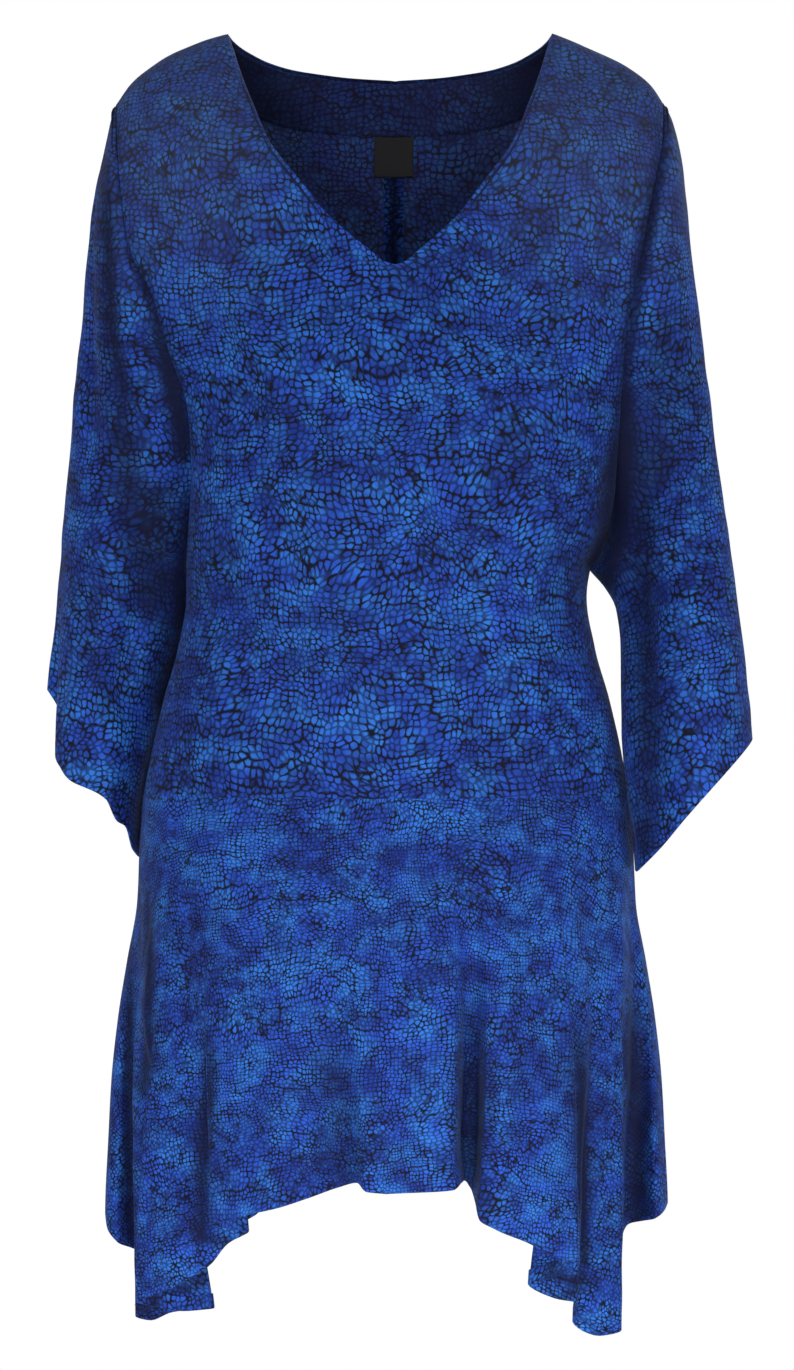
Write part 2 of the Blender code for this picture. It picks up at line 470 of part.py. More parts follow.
def sleeve_grid(side):
    inner = INNER_LEFT if side > 0 else INNER_RIGHT
    lower = np.linspace(UNDERARM_DROP, inner["drop"][-1], SLEEVE_LOWER_SPANS + 1)[1:]
    rows = np.concatenate([ARMHOLE_DROPS, lower])
    across = np.linspace(0, 1, 2 * SLEEVE_HALF_SPANS + 1)
    grid = sleeve_point(side, *np.broadcast_arrays(across[None, :], rows[:, None]))
    grid[0] = (side * SHOULDER[SIDE_NAMES[side]][-1], 0, -SHOULDER_DROP)
    return grid


def flounce_grid(side, face):
    length = hem_length(HEMS[face, side])
    places = [0.0]
    for start, end in zip(length[:-1], length[1:]):
        count = max(1, int(np.ceil((end - start) / HEM_SPAN)))
        places += list(np.linspace(start, end, count + 1)[1:])
    down = np.linspace(0, 1, FLOUNCE_SPANS + 1)
    return flounce_point(side, face, *np.broadcast_arrays(np.array(places)[None, :], down[:, None]))


def whole(left, right):
    """One grid from a left and a right half that share their centre column."""
    return np.concatenate([right[:, :0:-1], left], axis=1)


# ---- Walls -------------------------------------------------------------------------------------


def triangles_of(grid, flip):
    """Points and triangles of a grid, with equal points joined. Each cell takes its shorter diagonal."""
    flat = grid.reshape(-1, 3)
    _, first, joined = np.unique(np.round(flat, 7), axis=0, return_index=True, return_inverse=True)
    joined = joined.reshape(grid.shape[:2])
    points = flat[first]
    triangles = []
    for r in range(grid.shape[0] - 1):
        for c in range(grid.shape[1] - 1):
            a, b, d, e = joined[r, c], joined[r, c + 1], joined[r + 1, c + 1], joined[r + 1, c]
            if np.linalg.norm(points[a] - points[d]) <= np.linalg.norm(points[b] - points[e]):
                cell = [(a, b, d), (a, d, e)]
            else:
                cell = [(a, b, e), (b, d, e)]
            triangles += [t for t in cell if len(set(t)) == 3]
    if flip:
        triangles = [t[::-1] for t in triangles]
    return points, np.array(triangles)


def unit(vector):
    return vector / np.linalg.norm(vector)


def key(point):
    return tuple(np.round(point, 5))


def group_of(name):
    """The pieces whose seams are always mitred together: each sleeve, and all of the body."""
    return name if name.startswith("sleeve") else "body"


def add_normals(points, triangles, normals):
    corners = points[triangles]
    facing = np.cross(corners[:, 1] - corners[:, 0], corners[:, 2] - corners[:, 0])
    for triangle, normal in zip(triangles, facing):
        for vertex in triangle:
            place = key(points[vertex])
            normals[place] = normals.get(place, np.zeros(3)) + normal


def rim_of(triangles):
    """Directed edges that only one triangle has."""
    edges = {(t[i], t[(i + 1) % 3]) for t in map(tuple, triangles) for i in range(3)}
    return [(a, b) for a, b in edges if (b, a) not in edges]


def pull_back(points, triangles, normals, rim):
    """Draws the edges of a piece in by half of the seam gap, level at the hip seam."""
    inward = {}
    for a, b in rim:
        edge = points[b] - points[a]
        across = np.cross(normals[a] + normals[b], edge)
        at_hip = abs(points[a][2] + HIP_DROP) + abs(points[b][2] + HIP_DROP) < NOTHING
        if at_hip:
            across = np.array([0, 0, np.sign(points[:, 2].mean() + HIP_DROP)])
        across /= np.linalg.norm(across)
        for vertex in (a, b):
            inward.setdefault(vertex, []).append(across)
    moved = points.copy()
    for vertex, ways in inward.items():
        share = 1 + ways[0] @ ways[-1] if len(ways) > 1 else 1
        pull = sum(ways) / (share if len(ways) > 1 else 1)
        moved[vertex] = moved[vertex] + pull * min(1, MOST_PULL / np.linalg.norm(pull)) * SEAM_GAP * EDGE_SHARE
    return moved


def offset_ways(points, group, normals):
    """The way out of the cloth at each point: shared along a seam, unless its two sides face each other."""
    level = np.abs(points[:, 2] + HIP_DROP) < NOTHING
    shared = np.array([sum(found.get(key(point), 0) for found in normals.values()) for point in points])
    alone = np.array([normals[group][key(point)] for point in points])
    for ways in (shared, alone):
        ways[level, 2] = 0
        ways /= np.linalg.norm(ways, axis=1, keepdims=True)
    opposed = np.sum(shared * alone, axis=1) < OPPOSED
    return np.where(opposed[:, None], alone, shared)


def wall(name, points, triangles, normals, outer, inner):
    """A closed solid between two offsets, both measured inwards from the surface."""
    own = offset_ways(points, group_of(name), normals)
    rim = rim_of(triangles)
    points = pull_back(points, triangles, own, rim)
    build = bmesh.new()
    skins = [[build.verts.new(place) for place in points - own * depth] for depth in (outer, inner)]
    for a, b, c in triangles:
        build.faces.new((skins[0][a], skins[0][b], skins[0][c]))
        build.faces.new((skins[1][c], skins[1][b], skins[1][a]))
    for a, b in rim:
        build.faces.new((skins[0][b], skins[0][a], skins[1][a]))
        build.faces.new((skins[0][b], skins[1][a], skins[1][b]))
    mesh = bpy.data.meshes.new(name)
    build.to_mesh(mesh)
    build.free()
    mesh.shade_smooth()
    mesh.set_sharp_from_angle(angle=SHARP_EDGE)
    piece = bpy.data.objects.new(name, mesh)
    bpy.context.scene.collection.objects.link(piece)
    mesh.materials.append(cloth_material(name))
    return piece


def cloth_material(name):
    colour = COLOURS.get(name) or COLOURS[name.split("_")[0]]
    material = bpy.data.materials.new(name + "_cloth")
    material.use_nodes = True
    shader = material.node_tree.nodes["Principled BSDF"]
    shader.inputs["Base Color"].default_value = (*colour, 1)
    shader.inputs["Roughness"].default_value = CLOTH_ROUGHNESS
    shader.inputs["Metallic"].default_value = 0.0
    return material


# ---- The garment -------------------------------------------------------------------------------


def label_grid(back, normals):
    """The two middle cells under the facing, drawn in to the label's width."""
    centre = back.shape[1] // 2
    rows = slice(FACING_ROW, FACING_ROW + 2)
    middle = back[rows, centre]
    grid = [middle]
    for column in (centre - 1, centre + 1):
        edge = back[rows, column]
        drawn_in = middle + (edge - middle) * LABEL_SHARE
        for near, far, place in zip(middle, edge, drawn_in):
            normals[key(place)] = unit(normals[key(near)]) + unit(normals[key(far)])
        grid.insert(0 if column < centre else 2, drawn_in)
    return np.stack(grid, axis=1)


def build_tunic():
    for old in list(bpy.data.objects):
        bpy.data.objects.remove(old)
    backs = {side: bodice_grid(side, "back") for side in (1, -1)}
    grids = {
        "front": whole(bodice_grid(1, "front"), bodice_grid(-1, "front")),
        "back_left": backs[1],
        "back_right": backs[-1][:, ::-1],
        "sleeve_left": sleeve_grid(1),
        "sleeve_right": sleeve_grid(-1)[:, ::-1],
        "flounce_front": whole(flounce_grid(1, "front"), flounce_grid(-1, "front")),
        "flounce_back": whole(flounce_grid(1, "back"), flounce_grid(-1, "back")),
    }
    surfaces = {name: triangles_of(grid, "back" not in name) for name, grid in grids.items()}
    normals = {}
    for name, (points, triangles) in surfaces.items():
        add_normals(points, triangles, normals.setdefault(group_of(name), {}))
    for name, (points, triangles) in surfaces.items():
        wall(name, points, triangles, normals, 0.0, CLOTH)

    back = whole(backs[1], backs[-1])
    centre = back.shape[1] // 2
    reach = BACK_NECK_SPANS + FACING_SHOULDER_COLUMNS
    facing = back[: FACING_ROW + 1, centre - reach : centre + reach + 1].copy()
    facing[1:, 0] = facing[0, 0]
    facing[1:, -1] = facing[0, -1]
    label = label_grid(back, normals["body"])
    lining_face = CLOTH + SEAM_GAP
    wall("neck_facing", *triangles_of(facing, False), normals, lining_face, lining_face + FACING_CLOTH)
    wall("label", *triangles_of(label, False), normals, lining_face, lining_face + LABEL_CLOTH)


build_tunic()
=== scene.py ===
"""Dresses the tunic top in crackle-print jersey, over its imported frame.

Each piece of cloth is laid out flat first, so that its print runs true, and is then made as a thin
wall with its edges turned under. Metres, +Z up. The front faces -Y, and the wearer's left is +X.
"""

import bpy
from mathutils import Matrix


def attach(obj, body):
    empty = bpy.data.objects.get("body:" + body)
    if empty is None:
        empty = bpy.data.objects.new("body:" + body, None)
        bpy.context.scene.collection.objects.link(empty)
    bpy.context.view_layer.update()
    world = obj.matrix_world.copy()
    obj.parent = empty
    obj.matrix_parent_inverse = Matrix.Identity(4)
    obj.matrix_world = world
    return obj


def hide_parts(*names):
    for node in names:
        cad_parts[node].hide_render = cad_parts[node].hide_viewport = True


bl_info = {
    "name": "Tunic top",
    "version": (1, 0, 0),
    "blender": (4, 5, 0),
    "location": "View3D > Sidebar > Tunic",
    "description": "Makes a V-neck tunic top in crackle-print jersey, piece by piece",
    "category": "Object",
}

import math
from functools import lru_cache, partial

import bpy
import numpy as np
from bpy.props import FloatProperty, FloatVectorProperty, PointerProperty
from mathutils import Vector

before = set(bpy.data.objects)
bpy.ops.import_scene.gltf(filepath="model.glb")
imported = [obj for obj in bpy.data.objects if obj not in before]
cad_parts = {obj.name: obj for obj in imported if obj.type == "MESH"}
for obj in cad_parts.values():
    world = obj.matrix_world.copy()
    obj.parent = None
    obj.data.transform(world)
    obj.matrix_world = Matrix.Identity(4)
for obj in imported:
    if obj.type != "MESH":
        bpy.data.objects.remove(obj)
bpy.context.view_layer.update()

# ---- The cut: the same sizes and tables as the solids have --------------------------------------

NOTHING = 1e-6  # below this a length is taken as none
TINY = 1e-12  # the least length that a vector is divided by
NECK_HALF = 0.1211  # from the middle to a neck point
V_OFF_CENTRE = 0.0065  # the V's point and the centre-back seam stand a little to the wearer's left
SHOULDER_DROP = 0.052  # where the armhole starts
CLOSING_DROP = 0.35  # from here down to the underarm a sleeve's rings close into ellipses
UNDERARM_DROP = 0.4025
HIP_DROP = 0.570  # the seam between bodice and flounce
SHOULDER_ROUND = 0.130  # how far below the shoulder line the chest reaches its full depth
ROUNDNESS = 2.2  # of the body's rings: 2 is an ellipse
EVEN_FROM = 0.75  # share of the bodice's drop, from which its columns stand evenly round the body
SAG = 1.3  # how soon the rows lose the shape of the neck and shoulders
FACING_ROW = 2  # the facing ends and the label starts at this row of the back
FACING_SHOULDER_COLUMNS = 1  # how far the facing reaches along the shoulder seams
LABEL_SHARE = 0.715  # of the back's middle columns, each 21 mm wide, that the label covers
ARMHOLE_ROUNDING = 2.6  # of the armholes, seen from the side: 2 is an ellipse
HEM_FORM_START = 0.40  # the right sleeve's hem form fades out at this drop
HEM_FORM_POWER = 1.7  # how it gathers on the way down
VALLEY_START = 0.09  # drops over which a valley fades in and out
VALLEY_END = 0.06
VALLEY_CLEARANCE = 0.06  # share of the way round, by which valleys keep off the seam
VALLEY_CENTRE = 0.04  # from a sleeve's inner line to the line its valleys are pressed towards

# Piece counts: spans of the grids that the walls are made from.
V_SPANS = 7
BACK_NECK_SPANS = 6
SHOULDER_SPANS = 4
NECK_SHARES = {
    "front": V_SPANS / (V_SPANS + SHOULDER_SPANS),
    "back": BACK_NECK_SPANS / (BACK_NECK_SPANS + SHOULDER_SPANS),
}
SLEEVE_HALF_SPANS = 10
SLEEVE_LOWER_SPANS = 7
FLOUNCE_SPANS = 8
HEM_SPAN = 0.0125  # widest step along the hem
ARC_STEPS = 97  # for measuring the length of a sleeve's arc
PATH_STEPS = 400  # for measuring the length of a path

# Rows of the bodice: drops at its side edges, first down the armholes and then down the side seams.
ARMHOLE_DROPS = (
    0.052, 0.0635, 0.0892, 0.1175, 0.146, 0.175, 0.204, 0.234, 0.264, 0.294, 0.322, 0.348, 0.371,
    0.389, 0.4025,
)
SIDE_DROPS = (0.427, 0.451, 0.475, 0.499, 0.523, 0.547, 0.570)


def table(columns, *rows):
    """A table with named columns, as one array for each name."""
    return dict(zip(columns.split(), np.array(rows, float).T))


# Half width of the neck's edges at a drop.
V_EDGE = table(
    "half drop",
    (0.0, 0.185), (0.0055, 0.1835), (0.0188, 0.1730), (0.0353, 0.1590), (0.0488, 0.1455),
    (0.0597, 0.1310), (0.0728, 0.1140), (0.0892, 0.0905), (0.0986, 0.0670), (0.1085, 0.0408),
    (0.1181, 0.0095), (NECK_HALF, 0.0),
)
BACK_NECK = table(
    "half drop",
    (0.0, 0.0256), (0.035, 0.0240), (0.055, 0.0222), (0.074, 0.0200), (0.093, 0.0155),
    (0.105, 0.0105), (0.1135, 0.0060), (NECK_HALF, 0.0),
)
# The shoulder line, seen from the front, on the wearer's left and right.
SHOULDER = table(
    "left left_drop right right_drop",
    (0.0, -0.050, 0.0, -0.050), (NECK_HALF, 0.0, NECK_HALF, 0.0), (0.142, 0.008, 0.1405, 0.0060),
    (0.1797, 0.0253, 0.1700, 0.0203), (0.1975, 0.0390, 0.1905, 0.0370),
    (0.2065, SHOULDER_DROP, 0.2010, SHOULDER_DROP),
)
# Depth of the bodice in front of and behind the shoulder line, on its centre lines.
DEPTH = table(
    "drop front back",
    (-0.05, 0.060, 0.050), (0.0, 0.072, 0.060), (0.04, 0.088, 0.072), (0.10, 0.107, 0.092),
    (0.185, 0.1185, 0.104), (0.26, 0.130, 0.105), (0.35, 0.123, 0.094), (0.43, 0.116, 0.084),
    (0.50, 0.1145, 0.096), (HIP_DROP, 0.120, 0.118),
)
# How full a ring of the bodice is between its centre and its side edge, and how sharply it turns.
TURN = table(
    "drop full sharp",
    (0.0, 2.4, 1.15), (0.20, 2.35, 1.18), (0.285, 2.3, 1.25), (0.35, 2.25, 1.65),
    (UNDERARM_DROP, 2.2, 2.05), (0.45, 2.2, 2.2),
    (HIP_DROP, ROUNDNESS, ROUNDNESS),
)
# The bodice's side edges: armhole, then side seam. Half widths, and the depths before rounding.
EDGE = table(
    "drop left_front left_back right_front right_back left_ahead right_ahead behind",
    (SHOULDER_DROP, 0.2065, 0.2065, 0.2010, 0.2010, 0.058, 0.058, 0.062),
    (0.085, 0.2044, 0.2040, 0.1995, 0.1990, 0.058, 0.058, 0.064),
    (0.126, 0.1963, 0.1965, 0.1955, 0.1930, 0.059, 0.059, 0.066),
    (0.165, 0.1888, 0.1900, 0.1897, 0.1870, 0.060, 0.060, 0.066),
    (0.202, 0.1813, 0.1845, 0.1723, 0.1815, 0.060, 0.060, 0.065),
    (0.240, 0.1755, 0.1795, 0.1610, 0.1765, 0.058, 0.056, 0.062),
    (0.285, 0.1728, 0.1745, 0.1468, 0.1710, 0.053, 0.049, 0.057),
    (0.325, 0.1706, 0.1705, 0.1445, 0.1665, 0.044, 0.041, 0.047),
    (0.352, 0.1690, 0.1675, 0.1460, 0.1630, 0.036, 0.034, 0.038),
    (0.378, 0.1640, 0.1620, 0.1480, 0.1580, 0.027, 0.026, 0.028),
    (0.395, 0.1565, 0.1560, 0.1495, 0.1525, 0.020, 0.020, 0.021),
    (UNDERARM_DROP, 0.1527, 0.1527, 0.1500, 0.1500, 0.016, 0.016, 0.017),
    (0.4243, 0.1500, 0.1500, 0.1500, 0.1500, 0.0, 0.0, 0.0),
    (0.4618, 0.1560, 0.1560, 0.1560, 0.1560, 0.0, 0.0, 0.0),
    (0.4993, 0.1669, 0.1669, 0.1669, 0.1669, 0.0, 0.0, 0.0),
    (0.5368, 0.1755, 0.1755, 0.1755, 0.1755, 0.0, 0.0, 0.0),
    (HIP_DROP, 0.1820, 0.1820, 0.1820, 0.1820, 0.0, 0.0, 0.0),
)
# The sleeves' outer lines, from the shoulder over the arm to the hem.
OVERARM_LEFT = table(
    "drop out",
    (SHOULDER_DROP, 0.2065), (0.0665, 0.2140), (0.0875, 0.2194), (0.1153, 0.2232), (0.1475, 0.2269),
    (0.1813, 0.2307), (0.236, 0.2374), (0.2758, 0.2424), (0.3335, 0.2495), (0.3808, 0.2557),
    (0.4288, 0.2610), (0.467, 0.2650), (0.4993, 0.2683), (0.5280, 0.2706),
)
OVERARM_RIGHT = table(
    "drop out",
    (SHOULDER_DROP, 0.2010), (0.0665, 0.2065), (0.0853, 0.2103), (0.119, 0.2183), (0.1595, 0.2233),
    (0.209, 0.2280), (0.2495, 0.2323), (0.2743, 0.2352), (0.3095, 0.2377), (0.3508, 0.2421),
    (0.4183, 0.2494), (0.4805, 0.2566), (0.4918, 0.2575), (0.53, 0.2590),
)
# Sleeve rings, by the drop of their inner or seam side: how much higher their outer side is, how
# far they swell beyond the armhole's depth, and the depth of their outer side.
SLEEVE_LEFT = table(
    "drop rise swell_front swell_back outer_depth",
    (SHOULDER_DROP, 0.0, 0.0005, 0.0005, 0.0), (0.089, 0.004, 0.014, 0.012, 0.0),
    (0.146, 0.008, 0.020, 0.016, 0.0), (0.234, 0.014, 0.020, 0.018, -0.002),
    (0.322, 0.020, 0.030, 0.026, -0.008), (0.371, 0.024, 0.044, 0.038, -0.012),
    (UNDERARM_DROP, 0.0265, 0.054, 0.048, -0.016), (0.46, 0.043, 0.058, 0.050, -0.026),
    (0.54, 0.070, 0.056, 0.050, -0.038), (0.6257, 0.0977, 0.050, 0.048, -0.043),
)
SLEEVE_RIGHT = table(
    "drop rise swell_front swell_back outer_depth",
    (SHOULDER_DROP, 0.0, 0.0005, 0.0005, 0.0), (0.089, 0.004, 0.014, 0.012, 0.0),
    (0.146, 0.008, 0.020, 0.016, 0.0), (0.234, 0.014, 0.022, 0.020, 0.004),
    (0.322, 0.022, 0.034, 0.030, 0.010), (0.371, 0.028, 0.046, 0.040, 0.014),
    (UNDERARM_DROP, 0.034, 0.054, 0.048, 0.018), (0.46, 0.056, 0.056, 0.052, 0.028),
    (0.54, 0.090, 0.054, 0.052, 0.034), (0.618, 0.1262, 0.050, 0.050, 0.026),
)
# The sleeves' inner lines below the underarm, where the tubes close.
INNER_LEFT = table(
    "drop out depth",
    (UNDERARM_DROP, 0.1527, 0.0), (0.4153, 0.1637, -0.004), (0.4312, 0.1715, -0.012),
    (0.459, 0.1742, -0.024), (0.4932, 0.1740, -0.032), (0.520, 0.1748, -0.036),
    (0.5378, 0.1762, -0.038), (0.590, 0.1811, -0.042), (0.6257, 0.1840, -0.043),
)
INNER_RIGHT = table(
    "drop out depth",
    (UNDERARM_DROP, 0.1500, 0.0), (0.415, 0.1512, 0.010), (0.430, 0.1522, 0.020),
    (0.460, 0.1560, 0.030), (0.490, 0.1642, 0.034), (0.520, 0.1724, 0.036), (0.550, 0.1790, 0.036),
    (0.590, 0.1852, 0.032), (0.618, 0.1878, 0.026),
)
# By side: 1 is the wearer's left, and -1 the right.
OVERARMS = {1: OVERARM_LEFT, -1: OVERARM_RIGHT}
SLEEVE_RINGS = {1: SLEEVE_LEFT, -1: SLEEVE_RIGHT}
INNER_LINES = {1: INNER_LEFT, -1: INNER_RIGHT}
# The right sleeve's hem, from its inner line round the front, over the arm and back.
HEM_SLEEVE_RIGHT = table(
    "across out depth drop",
    (0.0, 0.1878, 0.026, 0.6180), (0.08, 0.1911, 0.004, 0.6104), (0.125, 0.1948, -0.008, 0.5935),
    (0.16, 0.2002, -0.016, 0.5895), (0.20, 0.2080, -0.022, 0.5736), (0.325, 0.2381, -0.018, 0.5573),
    (0.37, 0.2440, -0.010, 0.5500), (0.41, 0.2487, 0.001, 0.5405), (0.45, 0.2445, 0.012, 0.5160),
    (0.50, 0.2569, 0.026, 0.4918), (0.57, 0.2500, 0.046, 0.4980), (0.68, 0.2330, 0.066, 0.5180),
    (0.80, 0.2120, 0.074, 0.5480), (0.90, 0.1970, 0.060, 0.5800), (1.0, 0.1878, 0.026, 0.6180),
)
# Half width and depths of the flounce's plain cone, before its folds.
CONE = table(
    "drop half front back",
    (HIP_DROP, 0.1820, 0.120, 0.118), (0.6118, 0.1850, 0.126, 0.123),
    (0.6493, 0.1868, 0.131, 0.127), (0.6943, 0.1946, 0.137, 0.131), (0.7393, 0.2018, 0.143, 0.136),
    (0.7843, 0.2066, 0.149, 0.140), (0.8293, 0.2090, 0.154, 0.144), (0.8743, 0.2112, 0.159, 0.148),
    (0.970, 0.2125, 0.165, 0.152),
)
# The hem's path, from the centre line to the side seam. "angle" is where a fold's line leaves the
# cone, from 90 degrees at the centre line to 0 at the side, and "start" how far down it begins.
HEM_FRONT_LEFT = table(
    "angle out depth drop start",
    (90.0, 0.0, -0.1600, 0.8492, 0.0), (77.5, 0.0490, -0.1580, 0.8465, 0.15),
    (75.2, 0.0545, -0.1430, 0.8434, 0.15), (73.4, 0.0570, -0.1285, 0.8436, 0.15),
    (71.6, 0.0608, -0.1285, 0.8500, 0.15), (69.6, 0.0638, -0.1420, 0.8590, 0.15),
    (67.5, 0.0658, -0.1545, 0.8680, 0.15),
    (63.0, 0.0776, -0.1560, 0.8748, 0.10), (57.5, 0.1007, -0.1470, 0.8854, 0.05),
    (53.5, 0.1210, -0.1390, 0.8966, 0.05), (49.5, 0.1393, -0.1280, 0.9044, 0.05),
    (47.5, 0.1217, -0.1185, 0.9143, 0.15), (45.5, 0.1040, -0.1100, 0.9215, 0.25),
    (43.5, 0.1225, -0.1010, 0.9324, 0.20), (41.0, 0.1395, -0.0920, 0.9377, 0.10),
    (38.5, 0.1378, -0.0750, 0.9546, 0.10), (35.0, 0.1568, -0.0690, 0.9648, 0.10),
    (30.0, 0.1732, -0.0590, 0.9625, 0.10), (25.5, 0.1460, -0.0430, 0.9420, 0.25),
    (21.0, 0.1700, -0.0270, 0.9160, 0.20), (16.0, 0.1815, -0.0130, 0.8900, 0.15),
    (11.5, 0.1900, -0.0170, 0.8875, 0.10), (7.0, 0.2005, -0.0270, 0.8840, 0.10),
    (3.0, 0.2080, -0.0140, 0.8800, 0.10), (0.0, 0.2112, 0.0, 0.8765, 0.10),
)
HEM_FRONT_RIGHT = table(
    "angle out depth drop start",
    (90.0, 0.0, -0.1600, 0.8492, 0.0), (84.5, 0.0148, -0.1580, 0.8478, 0.3),
    (81.5, 0.0214, -0.1480, 0.8427, 0.3), (77.0, 0.0343, -0.1430, 0.8467, 0.3),
    (70.0, 0.0541, -0.1490, 0.8531, 0.2), (63.0, 0.0756, -0.1470, 0.8604, 0.1),
    (57.0, 0.0980, -0.1390, 0.8665, 0.1), (53.0, 0.1155, -0.1310, 0.8726, 0.2),
    (49.5, 0.1274, -0.1220, 0.8759, 0.25), (48.0, 0.1140, -0.1155, 0.8798, 0.3),
    (46.5, 0.1006, -0.1070, 0.8836, 0.35), (44.5, 0.1150, -0.0985, 0.8931, 0.3),
    (43.0, 0.1279, -0.0945, 0.9091, 0.25), (40.5, 0.1560, -0.0870, 0.9266, 0.20),
    (38.5, 0.1725, -0.0790, 0.9343, 0.20), (36.0, 0.1841, -0.0700, 0.9394, 0.22),
    (33.5, 0.1684, -0.0630, 0.9441, 0.28), (31.0, 0.1479, -0.0580, 0.9481, 0.35),
    (28.4, 0.1277, -0.0510, 0.9472, 0.40), (26.0, 0.1584, -0.0430, 0.9515, 0.32),
    (24.0, 0.1750, -0.0390, 0.9582, 0.25), (21.8, 0.1866, -0.0310, 0.9565, 0.18),
    (17.0, 0.1520, -0.0180, 0.9300, 0.22), (11.5, 0.1890, -0.0030, 0.9103, 0.15),
    (7.0, 0.2015, -0.0150, 0.9030, 0.10), (3.0, 0.2090, -0.0090, 0.8945, 0.10),
    (0.0, 0.2112, 0.0, 0.8840, 0.10),
)
HEM_BACK_LEFT = table(
    "angle out depth drop start",
    (90.0, 0.0, 0.1500, 0.8520, 0.0), (80.0, 0.0250, 0.1400, 0.8500, 0.2),
    (70.0, 0.0520, 0.1480, 0.8540, 0.2), (60.0, 0.0880, 0.1400, 0.8650, 0.1),
    (53.0, 0.1160, 0.1280, 0.8780, 0.1), (49.0, 0.1300, 0.1160, 0.8870, 0.2),
    (46.0, 0.1060, 0.1030, 0.8980, 0.3), (41.0, 0.1400, 0.0900, 0.9150, 0.2),
    (35.0, 0.1690, 0.0760, 0.9330, 0.1), (30.0, 0.1500, 0.0600, 0.9320, 0.25),
    (25.0, 0.1400, 0.0500, 0.9250, 0.25), (19.0, 0.1740, 0.0380, 0.9050, 0.15),
    (12.0, 0.1920, 0.0200, 0.8850, 0.1), (6.0, 0.2040, 0.0180, 0.8800, 0.1),
    (0.0, 0.2112, 0.0, 0.8765, 0.1),
)
HEM_BACK_RIGHT = table(
    "angle out depth drop start",
    (90.0, 0.0, 0.1500, 0.8520, 0.0), (82.0, 0.0200, 0.1520, 0.8530, 0.1),
    (73.0, 0.0450, 0.1400, 0.8510, 0.25), (62.0, 0.0800, 0.1440, 0.8610, 0.1),
    (54.0, 0.1100, 0.1320, 0.8750, 0.1), (49.5, 0.1270, 0.1200, 0.8860, 0.2),
    (46.0, 0.1000, 0.1060, 0.8960, 0.3), (42.0, 0.1380, 0.0930, 0.9140, 0.2),
    (36.0, 0.1680, 0.0800, 0.9310, 0.1), (30.5, 0.1460, 0.0630, 0.9330, 0.25),
    (25.0, 0.1360, 0.0520, 0.9260, 0.3), (19.0, 0.1720, 0.0400, 0.9120, 0.15),
    (12.0, 0.1920, 0.0230, 0.9000, 0.1), (6.0, 0.2040, 0.0190, 0.8920, 0.1),
    (0.0, 0.2112, 0.0, 0.8840, 0.1),
)
HEMS = {
    ("front", 1): HEM_FRONT_LEFT, ("front", -1): HEM_FRONT_RIGHT,
    ("back", 1): HEM_BACK_LEFT, ("back", -1): HEM_BACK_RIGHT,
}
FOLD_POWER = 1.6  # how a fold deepens on its way down to the hem
FOLD_HOLD = 1.2  # how nearly it keeps its hem's form just above the hem
HEM_BEND = 0.92  # of the sleeves' rings, seen from the front: 1 is a straight slant
# Soft valleys pressed into the sleeves: where across the sleeve, how wide, the stretch down it as
# drops of the seam side, and how deep.
SLEEVE_VALLEYS = table(
    "side across width top bottom depth",
    (1, 0.155, 0.085, 0.33, 0.70, 0.0085), (1, 0.80, 0.10, 0.20, 0.60, 0.006),
    (-1, 0.335, 0.080, 0.05, 0.36, 0.0060), (-1, 0.19, 0.10, 0.33, 0.56, 0.0120),
    (-1, 0.78, 0.10, 0.15, 0.55, 0.006),
)
SIDE_NAMES = {1: "left", -1: "right"}


def ease(at, knots, values):
    """The smooth curve through a table's rows that never overshoots them, read at any places."""
    at = np.clip(at, knots[0], knots[-1])
    step = np.diff(knots)
    rise = np.diff(values) / step
    slope = np.zeros_like(knots)
    level = rise[:-1] * rise[1:] <= 0
    before = 2 * step[1:] + step[:-1]
    after = step[1:] + 2 * step[:-1]
    steepness = before * rise[1:] + after * rise[:-1]
    blend = (before + after) * rise[:-1] * rise[1:] / np.where(level, 1, steepness)
    slope[1:-1] = np.where(level, 0, blend)
    slope[0] = rise[0]
    slope[-1] = rise[-1]
    span = np.clip(np.searchsorted(knots, at, side="right") - 1, 0, len(step) - 1)
    s = (at - knots[span]) / step[span]
    start = (1 + 2 * s) * (1 - s) ** 2 * values[span] + s * (1 - s) ** 2 * step[span] * slope[span]
    end = s**2 * (3 - 2 * s) * values[span + 1] - s**2 * (1 - s) * step[span] * slope[span + 1]
    return start + end


def by_drop(rows, column, drop):
    """A column of a table, read at any drops."""
    return ease(drop, rows["drop"], rows[column])


def span_lengths(grid, axis):
    return np.linalg.norm(np.diff(grid, axis=axis), axis=-1)


def walked_along(grid, axis=0):
    """How far each point of a grid, or of a path, lies from the first one along this axis."""
    lengths = span_lengths(grid, axis)
    start = [(int(side == axis), 0) for side in range(lengths.ndim)]
    return np.cumsum(np.pad(lengths, start), axis=axis)


def along(points, fractions):
    """Places at given fractions of the length of a path through 2-D points."""
    length = np.concatenate([[0], np.cumsum(np.hypot(*np.diff(points, axis=0).T))])
    fine = np.linspace(0, length[-1], PATH_STEPS)
    path = np.stack([ease(fine, length, points[:, i]) for i in range(2)], axis=1)
    walked = np.concatenate([[0], np.cumsum(np.hypot(*np.diff(path, axis=0).T))])
    at = np.asarray(fractions) * walked[-1]
    return np.stack([np.interp(at, walked, path[:, i]) for i in range(2)], axis=-1)


def soften(value, low, high):
    s = np.clip((value - low) / (high - low), 0, 1)
    return s * s * (3 - 2 * s)


# ---- Surfaces ----------------------------------------------------------------------------------


def shoulder_drop(side, out):
    name = SIDE_NAMES[side]
    return ease(out, SHOULDER[name], SHOULDER[name + "_drop"])


